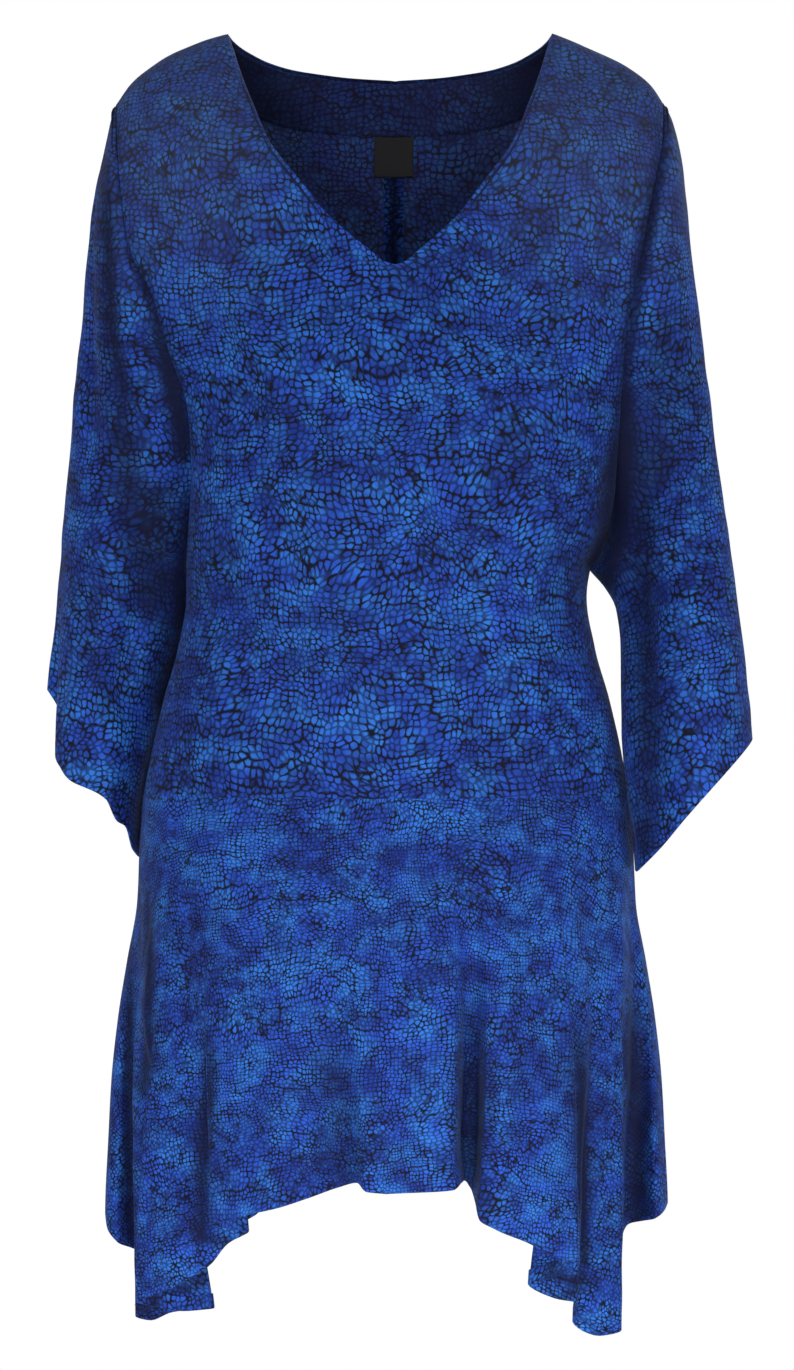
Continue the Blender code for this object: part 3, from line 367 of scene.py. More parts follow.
def side_edge(side, face, drop):
    """Half width and depth, both unsigned, of a bodice piece's side edge."""
    name = SIDE_NAMES[side]
    half = by_drop(EDGE, f"{name}_{face}", drop)
    depth = by_drop(EDGE, "behind" if face == "back" else name + "_ahead", drop)
    middle = (SHOULDER_DROP + UNDERARM_DROP) / 2
    reach = (UNDERARM_DROP - SHOULDER_DROP) / 2
    rounding = 1 - np.clip(np.abs(drop - middle) / reach, 0, 1) ** ARMHOLE_ROUNDING
    return half, depth * rounding ** (1 / ARMHOLE_ROUNDING)


def bodice_top(side, face, across):
    """Half width and drop of a bodice piece's top edge: neck edge, then shoulder seam."""
    neck = V_EDGE if face == "front" else BACK_NECK
    neck_share = NECK_SHARES[face]
    edge = np.stack([neck["half"], neck["drop"]], axis=1)
    neck_edge = along(edge, np.clip(across / neck_share, 0, 1))
    name = SIDE_NAMES[side]
    line = np.stack([SHOULDER[name], SHOULDER[name + "_drop"]], axis=1)[1:]
    beyond = np.clip((across - neck_share) / (1 - neck_share), 0, 1)
    shoulder = along(line, beyond)
    return np.where((across <= neck_share)[..., None], neck_edge, shoulder)


def bodice_point(side, face, across, edge_drop):
    """Points of half of the front or back. edge_drop is the row's drop at the side edge."""
    sign = -1 if face == "front" else 1
    down = (edge_drop - SHOULDER_DROP) / (HIP_DROP - SHOULDER_DROP)
    top = bodice_top(side, face, across)
    tip = SHOULDER[SIDE_NAMES[side]][-1]
    top_share = top[..., 0] / tip
    even_share = np.sin(across * np.pi / 2)
    share = top_share + (even_share - top_share) * soften(down, 0.0, EVEN_FROM)
    half, edge_depth = side_edge(side, face, edge_drop)
    drop = edge_drop + (top[..., 1] - SHOULDER_DROP) * (1 - down) ** SAG
    full = by_drop(TURN, "full", edge_drop)
    sharp = by_drop(TURN, "sharp", edge_drop)
    below = np.clip((drop - shoulder_drop(side, share * half)) / SHOULDER_ROUND, 0, 1)
    rounding = (1 - (1 - below) ** ROUNDNESS) ** (1 / ROUNDNESS)
    centre_depth = by_drop(DEPTH, face, drop) * rounding
    bow = np.clip(1 - share**full, 0, 1) ** (1 / sharp)
    depth = edge_depth + (centre_depth - edge_depth) * bow
    x = side * share * half + V_OFF_CENTRE * (1 - share) * (1 - down)
    return np.stack([x, sign * depth, -drop], axis=-1)


def sleeve_arc(turned, seam_x, seam_depth, outer_x, outer_depth, swell, closed):
    """Part of an ellipse, from above, from a sleeve's outer line (turned 0) to its seam (turned 1).

    The arguments have a row for each ring. Places are even along the arc. Where the tube is closed,
    it is half an ellipse, slanted to reach the depth of the seam.
    """
    slant = seam_depth - outer_depth
    ahead = np.maximum(slant, 0) * (1 - closed)
    reach = np.sqrt(ahead**2 + swell**2)
    start = np.pi - np.arcsin(ahead / reach)
    centre = (seam_x - outer_x * np.cos(start)) / (1 - np.cos(start))
    angles = start[:, :1] * np.linspace(0, 1, ARC_STEPS)
    across_steps = (outer_x - centre)[:, :1] * np.diff(np.cos(angles))
    steps = np.hypot(across_steps, reach[:, :1] * np.diff(np.sin(angles)))
    walked = np.cumsum(np.concatenate([np.zeros_like(steps[:, :1]), steps], axis=1), axis=1)
    angle = np.array([np.interp(t * w[-1], w, a) for t, w, a in zip(turned, walked, angles)])
    x = centre + (outer_x - centre) * np.cos(angle)
    inward = (outer_x - x) / np.maximum(outer_x - seam_x, NOTHING)
    return x, outer_depth + reach * np.sin(angle) + (slant - ahead) * inward


def sleeve_base(side, across, seam_drop):
    """Sleeve points before its valleys and hem. across runs from the front seam round the arm."""
    rings, inner, overarm = SLEEVE_RINGS[side], INNER_LINES[side], OVERARMS[side]
    outer_drop = seam_drop - by_drop(rings, "rise", seam_drop)
    outer_x = by_drop(overarm, "out", outer_drop)
    outer_depth = by_drop(rings, "outer_depth", seam_drop)
    inner_x = by_drop(inner, "out", seam_drop)
    inner_y = by_drop(inner, "depth", seam_drop)
    below = seam_drop >= UNDERARM_DROP
    closed = soften(seam_drop, CLOSING_DROP, UNDERARM_DROP)
    points = []
    for face, sign in (("front", -1), ("back", 1)):
        armhole_x, armhole_depth = side_edge(side, face, seam_drop)
        seam_x = np.where(below, inner_x, armhole_x)
        seam_depth = np.where(below, sign * inner_y, armhole_depth)
        swell = by_drop(rings, "swell_" + face, seam_drop)
        turned = np.clip(1 - 2 * across if face == "front" else 2 * across - 1, 0, 1)
        x, depth = sleeve_arc(
            turned, seam_x, seam_depth, outer_x, sign * outer_depth, swell, closed
        )
        out = np.clip((x - seam_x) / np.maximum(outer_x - seam_x, NOTHING), 0, 1)
        drop = seam_drop + (outer_drop - seam_drop) * out**HEM_BEND
        points.append(np.stack([side * x, sign * depth, -drop], axis=-1))
    return np.where((across <= 0.5)[..., None], points[0], points[1])


def sleeve_point(side, across, seam_drop):
    point = sleeve_base(side, across, seam_drop)
    inner = INNER_LINES[side]
    hem_drop = inner["drop"][-1]
    centre_x = by_drop(inner, "out", seam_drop) + VALLEY_CENTRE
    outward = point - np.stack([side * centre_x, np.zeros_like(centre_x), point[..., 2]], axis=-1)
    outward /= np.maximum(np.linalg.norm(outward, axis=-1, keepdims=True), NOTHING)
    for valley in np.flatnonzero(SLEEVE_VALLEYS["side"] == side):
        v = {name: column[valley] for name, column in SLEEVE_VALLEYS.items()}
        trough = np.exp(-2 * ((across - v["across"]) / v["width"]) ** 2)
        begun = soften(seam_drop, v["top"], v["top"] + VALLEY_START)
        ended = soften(seam_drop, v["bottom"] - VALLEY_END, v["bottom"])
        off_seam = soften(np.minimum(across, 1 - across), 0.0, VALLEY_CLEARANCE)
        point = point - outward * (trough * begun * (1 - ended) * off_seam * v["depth"])[..., None]
    if side < 0:
        hem = HEM_SLEEVE_RIGHT
        at_hem = sleeve_base(side, across, np.full_like(seam_drop, hem_drop))
        row = {name: ease(across, hem["across"], column) for name, column in hem.items()}
        place = np.stack([side * row["out"], row["depth"], -row["drop"]], axis=-1)
        formed = np.clip((seam_drop - HEM_FORM_START) / (hem_drop - HEM_FORM_START), 0, 1)
        point = point + (place - at_hem) * formed[..., None] ** HEM_FORM_POWER
    return point


def cone_point(side, face, angle, drop):
    sign = -1 if face == "front" else 1
    half = by_drop(CONE, "half", drop)
    depth = by_drop(CONE, face, drop)
    x = half * np.cos(np.radians(angle)) ** (2 / ROUNDNESS)
    y = depth * np.clip(np.sin(np.radians(angle)), 0, 1) ** (2 / ROUNDNESS)
    return np.stack([side * x, sign * y, -drop], axis=-1)


def hem_length(hem):
    """Distance walked along a hem's path at each of its rows."""
    return walked_along(np.stack([hem["out"], hem["depth"], hem["drop"]], axis=1))


def flounce_point(side, face, walked, down):
    """Points of half of a flounce. walked is the distance along the hem from its centre line."""
    hem = HEMS[face, side]
    length = hem_length(hem)
    row = {name: ease(walked, length, column) for name, column in hem.items()}
    drop = HIP_DROP + (row["drop"] - HIP_DROP) * down
    at_hem = cone_point(side, face, row["angle"], row["drop"])
    place = np.stack([side * row["out"], row["depth"], -row["drop"]], axis=-1)
    deep = np.clip((down - row["start"]) / (1 - row["start"]), 0, 1)
    weight = deep**FOLD_POWER * (1 + FOLD_HOLD * (1 - deep))
    return cone_point(side, face, row["angle"], drop) + (place - at_hem) * weight[..., None]


# ---- Surfaces at any fineness ------------------------------------------------------------------


def refine(values, parts):
    """The values, with each interval between them split evenly."""
    values = np.asarray(values, float)
    places = np.arange((len(values) - 1) * parts + 1) / parts
    return np.interp(places, np.arange(len(values)), values)


def two_sided(point, face, across, row):
    """Both halves of a piece: across is below 0 on the wearer's right."""
    left = point(1, face, np.abs(across), row)
    right = point(-1, face, np.abs(across), row)
    return np.where((across >= 0)[..., None], left, right)


def mirrored(places):
    return np.concatenate([-places[:0:-1], places])


def flounce_places(face):
    """Distances along the hem from the centre line, below 0 on the wearer's right."""
    halves = {}
    for side in (1, -1):
        length = hem_length(HEMS[face, side])
        places = [0.0]
        for start, end in zip(length[:-1], length[1:]):
            count = max(1, int(np.ceil((end - start) / HEM_SPAN)))
            places += list(np.linspace(start, end, count + 1)[1:])
        halves[side] = np.array(places)
    return np.concatenate([-halves[-1][:0:-1], halves[1]])


def sleeve_surface(side, across, row):
    grid = sleeve_point(side, across, row)
    grid[row <= SHOULDER_DROP] = (side * SHOULDER[SIDE_NAMES[side]][-1], 0, -SHOULDER_DROP)
    return grid


def sleeve_rows(side):
    lower = np.linspace(UNDERARM_DROP, INNER_LINES[side]["drop"][-1], SLEEVE_LOWER_SPANS + 1)[1:]
    return np.concatenate([ARMHOLE_DROPS, lower])


def bodice_columns(face):
    spans = (V_SPANS if face == "front" else BACK_NECK_SPANS) + SHOULDER_SPANS
    return np.linspace(0, 1, spans + 1)


BODICE_ROWS = np.array(ARMHOLE_DROPS + SIDE_DROPS)
FLOUNCE_ROWS = np.linspace(0, 1, FLOUNCE_SPANS + 1)
SLEEVE_COLUMNS = np.linspace(0, 1, 2 * SLEEVE_HALF_SPANS + 1)

# Into how many parts the intervals of a piece's columns and rows are split.
BODICE_PARTS = (7, 8)
SLEEVE_PARTS = (6, 8)
FLOUNCE_PARTS = (3, 9)

# Each piece: its surface as a function of (across, row), its columns and rows and their parts, and
# 1 or -1 where its outside is to the left or right of its rows.
PIECES = {
    "front": (
        partial(two_sided, bodice_point, "front"), mirrored(bodice_columns("front")), BODICE_ROWS,
        BODICE_PARTS, 1,
    ),
    "back_left": (
        partial(bodice_point, 1, "back"), bodice_columns("back"), BODICE_ROWS, BODICE_PARTS, -1,
    ),
    "back_right": (
        lambda across, row: bodice_point(-1, "back", -across, row),
        -bodice_columns("back")[::-1], BODICE_ROWS, BODICE_PARTS, -1,
    ),
    "sleeve_left": (
        partial(sleeve_surface, 1), SLEEVE_COLUMNS, sleeve_rows(1), SLEEVE_PARTS, 1,
    ),
    "sleeve_right": (
        partial(sleeve_surface, -1), SLEEVE_COLUMNS, sleeve_rows(-1), SLEEVE_PARTS, -1,
    ),
    "flounce_front": (
        partial(two_sided, flounce_point, "front"), flounce_places("front"), FLOUNCE_ROWS,
        FLOUNCE_PARTS, 1,
    ),
    "flounce_back": (
        partial(two_sided, flounce_point, "back"), flounce_places("back"), FLOUNCE_ROWS,
        FLOUNCE_PARTS, -1,
    ),
}
PRINT_SHIFT = (0.53, 0.29)  # from one piece's cut to the next on the printed cloth

# Soft folds pressed into each piece, in millimetres, as they are seen from the front or the back.
# One that is seen through has its shade painted on both sides of every layer there. Each has its
# width, its depth, how dark the shade painted into its hollow is, and its path: out from the middle
# and down from the neck points.
FRONT, BACK, THROUGH = -1, 1, 0
FOLDS = {
    "sleeve_right": (  # the long valley, the armhole, the hollow against the body, and the back
        (FRONT, 6.5, 2.4, 0.58, (-207, 98), (-206, 154), (-205, 199), (-203, 233), (-195, 270)),
        (FRONT, 5, 1.5, 0.6, (-193, 163), (-181, 183), (-171, 209), (-164, 237), (-156, 261),
         (-147, 309)),
        (FRONT, 7, 2, 0.7, (-170, 224), (-162, 258), (-155, 286), (-151, 318)),
        (FRONT, 14, 2.5, 0.48, (-199, 255), (-196, 300), (-190, 345), (-182, 395), (-176, 430)),
        (FRONT, 14, 3.5, 0.5, (-172, 335), (-166, 372), (-162, 417)),
        (FRONT, 6, 1, 0.6, (-148, 345), (-148, 400), (-152, 440)),
        (FRONT, 10, 2, 0.45, (-158, 424), (-162, 462), (-171, 499)),
        (FRONT, 5, 0, 0.55, (-150, 418), (-154, 466), (-166, 499), (-175, 538), (-183, 577),
         (-186, 608)),
        (FRONT, 5, 1.2, 0.3, (-147, 327), (-158, 340), (-170, 349)),
        (FRONT, 12, 1.5, 0.22, (-215, 394), (-221, 454), (-212, 499)),
        (BACK, 7, 2, 0.4, (-196, 150), (-186, 250), (-178, 340), (-180, 430)),
        (BACK, 12, 1.8, 0.18, (-176, 395), (-202, 424), (-230, 440)),
    ),
    "sleeve_left": (  # the armhole, the strip against the body, and the back
        (FRONT, 5, 1.2, 0.6, (205, 58), (205, 95), (195, 143), (185, 196), (177, 249), (173, 309),
         (172, 348)),
        (FRONT, 9, 2, 0.82, (177, 262), (177, 310), (174, 352), (169, 388), (163, 412)),
        (FRONT, 11, 3, 0.5, (186, 289), (187, 349), (188, 424), (191, 604)),
        (FRONT, 12, 2, 0.35, (209, 199), (201, 274), (198, 334)),
        (FRONT, 13, 2, 0.2, (228, 229), (220, 280), (212, 330)),
        (BACK, 7, 2, 0.4, (200, 140), (192, 240), (186, 340), (190, 440)),
        (BACK, 12, 1.8, 0.18, (180, 400), (206, 432), (236, 450)),
        (BACK, 12, 1.6, 0.18, (212, 440), (222, 520), (226, 600)),
    ),
    "front": (  # the armholes, pulls from the underarms and shoulders, and the fall over the hip
        (FRONT, 5, 0, 0.35, (-193, 163), (-181, 183), (-171, 209), (-164, 237), (-156, 261),
         (-147, 309)),
        (FRONT, 5, 0, 0.45, (201, 58), (201, 98), (190, 154), (178, 219), (172, 289), (165, 372),
         (154, 396)),
        (FRONT, 8, 1.5, 0.55, (168, 297), (165, 345), (161, 375), (154, 398)),
        (FRONT, 10, 1.4, 0.1, (148, 372), (128, 410), (104, 452)),
        (FRONT, 7, 1.1, 0.1, (150, 392), (136, 440), (128, 470)),
        (FRONT, 10, 1.3, 0.1, (-146, 350), (-118, 402), (-98, 440)),
        (FRONT, 8, 1, 0.08, (-148, 376), (-136, 420), (-126, 462)),
        (FRONT, 14, 1, 0.06, (120, 300), (88, 316), (60, 345)),
        (FRONT, 14, 1, 0.06, (-118, 288), (-82, 304), (-50, 330)),
        (FRONT, 12, 1, 0.08, (-120, 90), (-112, 140), (-94, 185)),
        (FRONT, 12, 1.1, 0.08, (132, 85), (120, 140), (100, 190)),
        (FRONT, 22, 1.2, 0.06, (-30, 420), (-62, 490), (-85, 560)),
        (FRONT, 24, 1.3, 0.06, (36, 400), (60, 480), (74, 565)),
    ),
    "back_left": (  # the armhole, and drag lines across the waist and from the shoulder
        (BACK, 5, 0, 0.4, (201, 58), (190, 154), (178, 219), (170, 330), (156, 396)),
        (BACK, 14, 1.3, 0.1, (160, 130), (104, 162), (60, 210)),
        (BACK, 12, 1.6, 0.14, (158, 350), (104, 394), (62, 420)),
        (BACK, 10, 2, 0.18, (150, 398), (86, 426), (30, 436)),
        (BACK, 11, 1.8, 0.16, (152, 440), (82, 458), (20, 462)),
        (BACK, 12, 1.2, 0.1, (140, 480), (90, 488), (50, 486)),
    ),
    "back_right": (  # the same on the other side
        (BACK, 5, 0, 0.4, (-193, 163), (-171, 209), (-156, 261), (-150, 330), (-148, 390)),
        (BACK, 14, 1.2, 0.1, (-158, 120), (-108, 156), (-70, 205)),
        (BACK, 12, 1.5, 0.14, (-158, 345), (-98, 388), (-50, 415)),
        (BACK, 10, 2, 0.18, (-150, 392), (-80, 428), (-26, 440)),
        (BACK, 11, 1.6, 0.16, (-152, 448), (-90, 456), (-34, 458)),
        (BACK, 12, 1.2, 0.1, (-140, 484), (-98, 484), (-60, 480)),
    ),
    "flounce_front": (  # the falls between the points, and the creases at their turned tips
        (FRONT, 4, 1, 0.68, (-192, 672), (-192, 837), (-191, 904)),
        (FRONT, 5, 1.5, 0.6, (-176, 640), (-174, 700), (-175, 754), (-180, 788)),
        (FRONT, 12, 2.2, 0.26, (-45, 724), (-36, 784), (-31, 855)),
        (FRONT, 12, 1.6, 0.26, (62, 705), (63, 757), (60, 827)),
        (FRONT, 10, 1.4, 0.36, (64, 765), (61, 815), (59, 861)),
        (FRONT, 4, 1, 0.78, (142, 745), (143, 790), (144, 838), (145, 912)),
        (FRONT, 12, 0.8, 0.26, (138, 715), (140, 780), (142, 850)),
        (FRONT, 6, 1.5, 0.62, (-128, 734), (-128, 772), (-134, 841), (-135, 889)),
        (FRONT, 8, 1.5, 0.7, (184, 715), (186, 799), (187, 885)),
        (THROUGH, 3.2, 0, 0.74, (-124, 920), (-160, 938), (-188, 951)),
        (THROUGH, 3, 0, 0.6, (-190, 950), (-172, 954), (-155, 958)),
        (THROUGH, 3.2, 0, 0.74, (-140, 889), (-118, 893), (-104, 899)),
        (THROUGH, 3.2, 0, 0.7, (145, 924), (130, 932), (106, 941)),
        (THROUGH, 3.4, 0, 0.66, (100, 906), (126, 917), (144, 924)),
    ),
    "flounce_back": (  # the falls between the points
        (BACK, 13, 2.2, 0.22, (-66, 700), (-68, 790), (-70, 880)),
        (BACK, 13, 2.2, 0.22, (66, 690), (70, 780), (74, 880)),
        (BACK, 12, 1.6, 0.16, (4, 720), (6, 790), (4, 870)),
        (BACK, 6, 1.4, 0.4, (-150, 720), (-152, 800), (-154, 880)),
        (BACK, 6, 1.4, 0.4, (150, 720), (152, 800), (154, 880)),
    ),
}
# Where a sleeve's inner side is brought up to the body, in millimetres: how far round the path,
# how far across, and the path.
EASES = (
    ("sleeve_right", 14, 2.2, (-150, 410), (-152, 438)),
    ("sleeve_right", 12, 1.3, (-184, 596), (-187, 618)),
    ("sleeve_left", 14, -1.5, (168, 532), (178, 575)),
)
MILLIMETRES = 1000  # to a metre

# Painted shade on each piece's inner side, where little light reaches into the garment: how dark it
# is painted from its top to its bottom
INSIDE_SHADES = {
    "front": ((0, 1), (0.7, 0.7)),
    "back": ((0, 1), (0.0, 0.10)),
    "sleeve": ((0, 0.5, 0.9, 1), (0.75, 0.7, 0.25, 0.1)),
    "flounce": ((0, 0.5, 0.85, 1), (0.7, 0.5, 0.05, 0.0)),
}

# The cloth's faint unevenness: waves with their directions across and down, length and height.
RIPPLES = (
    (1.0, 0.35, 0.061, 0.00022), (0.6, -1.0, 0.083, 0.00020), (0.15, 1.0, 0.047, 0.00014),
)
RIPPLE_WANDER = 1.5  # how far each wave runs ahead and falls behind, and how often
RIPPLE_WANDER_RATE = 0.37
SHOULDER_SLACK = 0.003  # most that the finer grid stands off the shoulder seams
SHOULDER_ROWS = 10  # fine rows, over which it is brought back
FOLD_TAPER = 0.35  # share of its path, over which a fold grows
FOLD_START = -0.45  # as a share of its taper, where a fold starts to grow: before its path begins
SEEN_FROM = -0.15  # cloth shows a fold from here, as it turns towards the side it is seen from
SEEN_FULLY = 0.25
EASED_ABOVE = 0.001  # the sleeves are eased from this much above the underarm
EASED_BELOW = 0.006  # and wholly this much below it
EDGE_REACH = 0.022  # folds and ripples fade out this near an edge
DISPLAY_GAMMA = 2.2  # the folds' shades are stated as they look on a display
FLATTENING_ROUNDS = 600
FLATTENING_PACE = 1.5  # of each round's mean correction
ROW_STIFFNESS = 0.5  # of the sleeves and flounces as they are laid flat
OPPOSED = 0.5  # cosine from a seam's shared way out to a piece's own, below which it keeps its own
PLACE_DIGITS = 5  # points that agree to these decimals are one place on a seam


def unit(vectors):
    return vectors / np.maximum(np.linalg.norm(vectors, axis=-1, keepdims=True), TINY)


def third_corner(p, q, from_p, from_q):
    """A triangle's corner at these distances from p and q, to the right of the way from p to q."""
    base = np.abs(q - p)
    wide = base > NOTHING
    safe = np.maximum(base, NOTHING)
    way = np.where(wide, (q - p) / safe, 1)
    run = np.where(wide, (from_p**2 - from_q**2 + base**2) / (2 * safe), 0)
    return p + way * (run - 1j * np.sqrt(np.maximum(from_p**2 - run**2, 0)))


def unrolled(grid):
    """A first flat layout, unrolled column by column. It works in complex numbers."""
    left, right = grid[:, :-1], grid[:, 1:]
    across = np.linalg.norm(right - left, axis=-1)
    left_down = span_lengths(left, 0)
    right_down = span_lengths(right, 0)
    slant = np.linalg.norm(right[:-1] - left[1:], axis=-1)
    a = np.zeros(left.shape[:2], complex)
    b = np.zeros(left.shape[:2], complex)
    b[0] = across[0]
    for r in range(len(grid) - 1):
        a[r + 1] = third_corner(a[r], b[r], left_down[r], slant[r])
        b[r + 1] = third_corner(a[r + 1], b[r], across[r + 1], right_down[r])
    placed = [a[:, 0]]
    for c in range(left.shape[1]):
        middle = a[:, c].mean()
        turn = np.sum(np.conj(a[:, c] - middle) * (placed[-1] - placed[-1].mean()))
        placed.append((b[:, c] - middle) * turn / abs(turn) + placed[-1].mean())
    flat = np.stack(placed, axis=1)
    centre = flat[:, flat.shape[1] // 2]
    upright = (centre[0] - centre[-1]) / abs(centre[0] - centre[-1])
    flat = (flat - centre[0]) * 1j / upright
    return np.stack([flat.real, flat.imag], axis=-1)


def straightened(grid):
    """A first flat layout, with its rows straight across and its middle column straight down."""
    across, middle = walked_along(grid, 1), grid.shape[1] // 2
    down = walked_along(grid[:, middle])[:, None] * np.ones(grid.shape[1])
    return np.stack([across - across[:, middle, None], -down], axis=-1)


def laid_flat(grid, start, stiffness=0.0):
    """The grid laid out flat, with distances between neighbouring points kept as nearly as can be.

    stiffness also holds each row and column straight, so that no part of a strongly curved piece
    ends up folded over.
    """
    flat = start.copy()
    rows, columns = grid.shape[:2]
    pairs = []
    for down, over in ((0, 1), (1, 0), (1, 1), (1, -1)):
        first = np.s_[: rows - down, max(0, -over) : columns - max(0, over)]
        second = np.s_[down:, max(0, over) : columns + min(0, over)]
        pairs.append((first, second, np.linalg.norm(grid[second] - grid[first], axis=-1), 1.0))
    across, down = span_lengths(grid, 1), span_lengths(grid, 0)
    pairs.append((np.s_[:, :-2], np.s_[:, 2:], across[:, :-1] + across[:, 1:], stiffness))
    pairs.append((np.s_[:-2], np.s_[2:], down[:-1] + down[1:], stiffness))
    for _ in range(FLATTENING_ROUNDS):
        moves = np.zeros_like(flat)
        counts = np.zeros(flat.shape[:2] + (1,))
        for first, second, length, weight in pairs:
            apart = flat[second] - flat[first]
            distance = np.maximum(np.linalg.norm(apart, axis=-1), NOTHING)
            share = apart * (0.5 * weight * (distance - length) / distance)[..., None]
            moves[first] += share
            moves[second] -= share
            counts[first] += weight
            counts[second] += weight
        flat += FLATTENING_PACE * moves / counts
    return flat


def cut_size(flat):
    """Width and length, and area, of a piece laid out flat."""
    across = flat[:-1, 1:] - flat[1:, :-1]
    down = flat[1:, 1:] - flat[:-1, :-1]
    area = 0.5 * np.abs(across[..., 0] * down[..., 1] - across[..., 1] * down[..., 0]).sum()
    return np.ptp(flat.reshape(-1, 2), axis=0), area


def read_grid(values, rows, columns):
    """A grid's values at places between its rows and columns."""
    r = np.clip(rows.astype(int), 0, values.shape[0] - 2)
    c = np.clip(columns.astype(int), 0, values.shape[1] - 2)
    s, t = (rows - r)[..., None], (columns - c)[..., None]
    top = values[r, c] * (1 - t) + values[r, c + 1] * t
    bottom = values[r + 1, c] * (1 - t) + values[r + 1, c + 1] * t
    return top * (1 - s) + bottom * s


def finer(coarse, column_parts, row_parts):
    """A coarse grid's values, spread evenly over the finer one."""
    rows, columns = coarse.shape[:2]
    at_rows = np.arange((rows - 1) * row_parts + 1) / row_parts
    at_columns = np.arange((columns - 1) * column_parts + 1) / column_parts
    return read_grid(coarse, *np.broadcast_arrays(at_rows[:, None], at_columns[None, :]))


def point_facing(grid, outside):
    """At each point, the sum of its cells' area-weighted ways out of the cloth."""
    facing = outside * np.cross(grid[1:, 1:] - grid[:-1, :-1], grid[:-1, 1:] - grid[1:, :-1])
    total = np.zeros_like(grid)
    for rows in (np.s_[:-1], np.s_[1:]):
        for columns in (np.s_[:-1], np.s_[1:]):
            total[rows, columns] += facing
    return total


def clear_of_edges(grid):
    """0 along a grid's edges, and 1 away from them."""
    across, down = walked_along(grid, 1), walked_along(grid)
    near = np.minimum.reduce([across, across[:, -1:] - across, down, down[-1:] - down])
    return soften(near, 0.0, EDGE_REACH)


def nearness(places, path, width, taper=0.0):
    """1 on the path and 0 well off it, for places seen straight from the front or the back.

    The path and its width are in millimetres. taper is the share of the path, over which it grows.
    """
    path = np.array(path) * (1, -1) / MILLIMETRES
    walked = walked_along(path)
    nearest = np.full(places.shape[:2], np.inf)
    reached = np.zeros(places.shape[:2])
    for start, end, before, after in zip(path[:-1], path[1:], walked[:-1], walked[1:]):
        way = end - start
        share = np.clip((places - start) @ way / (way @ way), 0, 1)
        distance = np.linalg.norm(places - start - share[..., None] * way, axis=-1)
        passed = (before + share * (after - before)) / walked[-1]
        reached = np.where(distance < nearest, passed, reached)
        nearest = np.minimum(nearest, distance)
    grown = soften(reached, FOLD_START * taper, taper) if taper else 1.0
    return np.exp(-((nearest * MILLIMETRES / width) ** 2)) * grown


def closed_shoulders(name, grid):
    """The grid, with its shoulder seams brought to the line on which front and back meet."""
    if not name.startswith(("front", "back")):
        return grid
    grid = grid.copy()
    off = np.where(np.abs(grid[0, :, 1]) < SHOULDER_SLACK, grid[0, :, 1], 0.0)
    grid[..., 1] -= (1 - soften(np.arange(len(grid)), 0, SHOULDER_ROWS))[:, None] * off
    return grid


def eased(name, grid):
    """The grid, with the sleeves' inner sides brought up against the body where they hang on it."""
    grid = grid.copy()
    for piece, width, shift, *path in EASES:
        if piece == name:
            drop = -grid[..., 2]
            below = soften(drop, UNDERARM_DROP - EASED_ABOVE, UNDERARM_DROP + EASED_BELOW)
            near = nearness(grid[..., [0, 2]], path, width)
            grid[..., 0] += shift / MILLIMETRES * below * near
    return grid


def folded(name, grid, ways, flat):
    """The grid with its soft folds and faint ripples, and the shade painted on it outside and
    inside.
    """
    depth = np.zeros(grid.shape[:2])
    light = np.ones(grid.shape[:2])
    down = np.linspace(0, 1, len(grid))[:, None] * np.ones(grid.shape[1])
    inner_light = 1 - np.interp(down, *INSIDE_SHADES[name.split("_")[0]])
    # Each fold paints shade into its hollow; one seen through paints it on the inner side too.
    for seen, width, height, shade, *path in FOLDS[name]:
        share = nearness(grid[..., [0, 2]], path, width, FOLD_TAPER)
        if seen != THROUGH:
            share *= soften(ways[..., 1] * seen, SEEN_FROM, SEEN_FULLY)
        depth += height / MILLIMETRES * share
        dimmed = (1 - shade * share) ** DISPLAY_GAMMA
        light *= dimmed
        if seen == THROUGH:
            inner_light *= dimmed
    for across, down, length, height in RIPPLES:
        phase = 2 * np.pi * (flat[..., 0] * across + flat[..., 1] * down) / length
        wander = RIPPLE_WANDER * np.sin(RIPPLE_WANDER_RATE * phase + len(name))
        depth += height * np.sin(phase + wander)
    # The painted shade, outside and inside, as shares towards the painted shade colour.
    shades = np.stack([1 - light, 1 - inner_light], axis=-1)
    return grid - ways * (depth * clear_of_edges(grid))[..., None], shades


@lru_cache(maxsize=1)
def tunic_surfaces():
    """Every large piece's points, ways out of the cloth and flat layout, and its cut's size."""
    surfaces = {}
    for number, (name, piece) in enumerate(PIECES.items()):
        surface, columns, rows, parts, outside = piece
        coarse = surface(*np.broadcast_arrays(columns[None, :], rows[:, None]))
        start = straightened(coarse) if name.startswith("sleeve") else unrolled(coarse)
        stiffness = 0.0 if name.startswith(("front", "back")) else ROW_STIFFNESS
        flat = laid_flat(coarse, start, stiffness)
        size, area = cut_size(flat)
        columns, rows = (refine(places, part) for places, part in zip((columns, rows), parts))
        grid = surface(*np.broadcast_arrays(columns[None, :], rows[:, None]))
        flat = finer(flat, *parts) + number * np.array(PRINT_SHIFT)
        grid = eased(name, closed_shoulders(name, grid))
        grid, shades = folded(name, grid, unit(point_facing(grid, outside)), flat)
        surfaces[name] = {
            "grid": grid, "flat": flat, "shades": shades, "outside": outside,
            "size": size, "area": area,
        }
    share_seams(surfaces)
    return surfaces


def added_up(places, vectors):
    """For each place, the sum of the vectors at the same place."""
    _, same = np.unique(places, axis=0, return_inverse=True)
    same = same.reshape(-1)
    total = np.zeros((same.max() + 1, 3))
    np.add.at(total, same, vectors)
    return total[same]


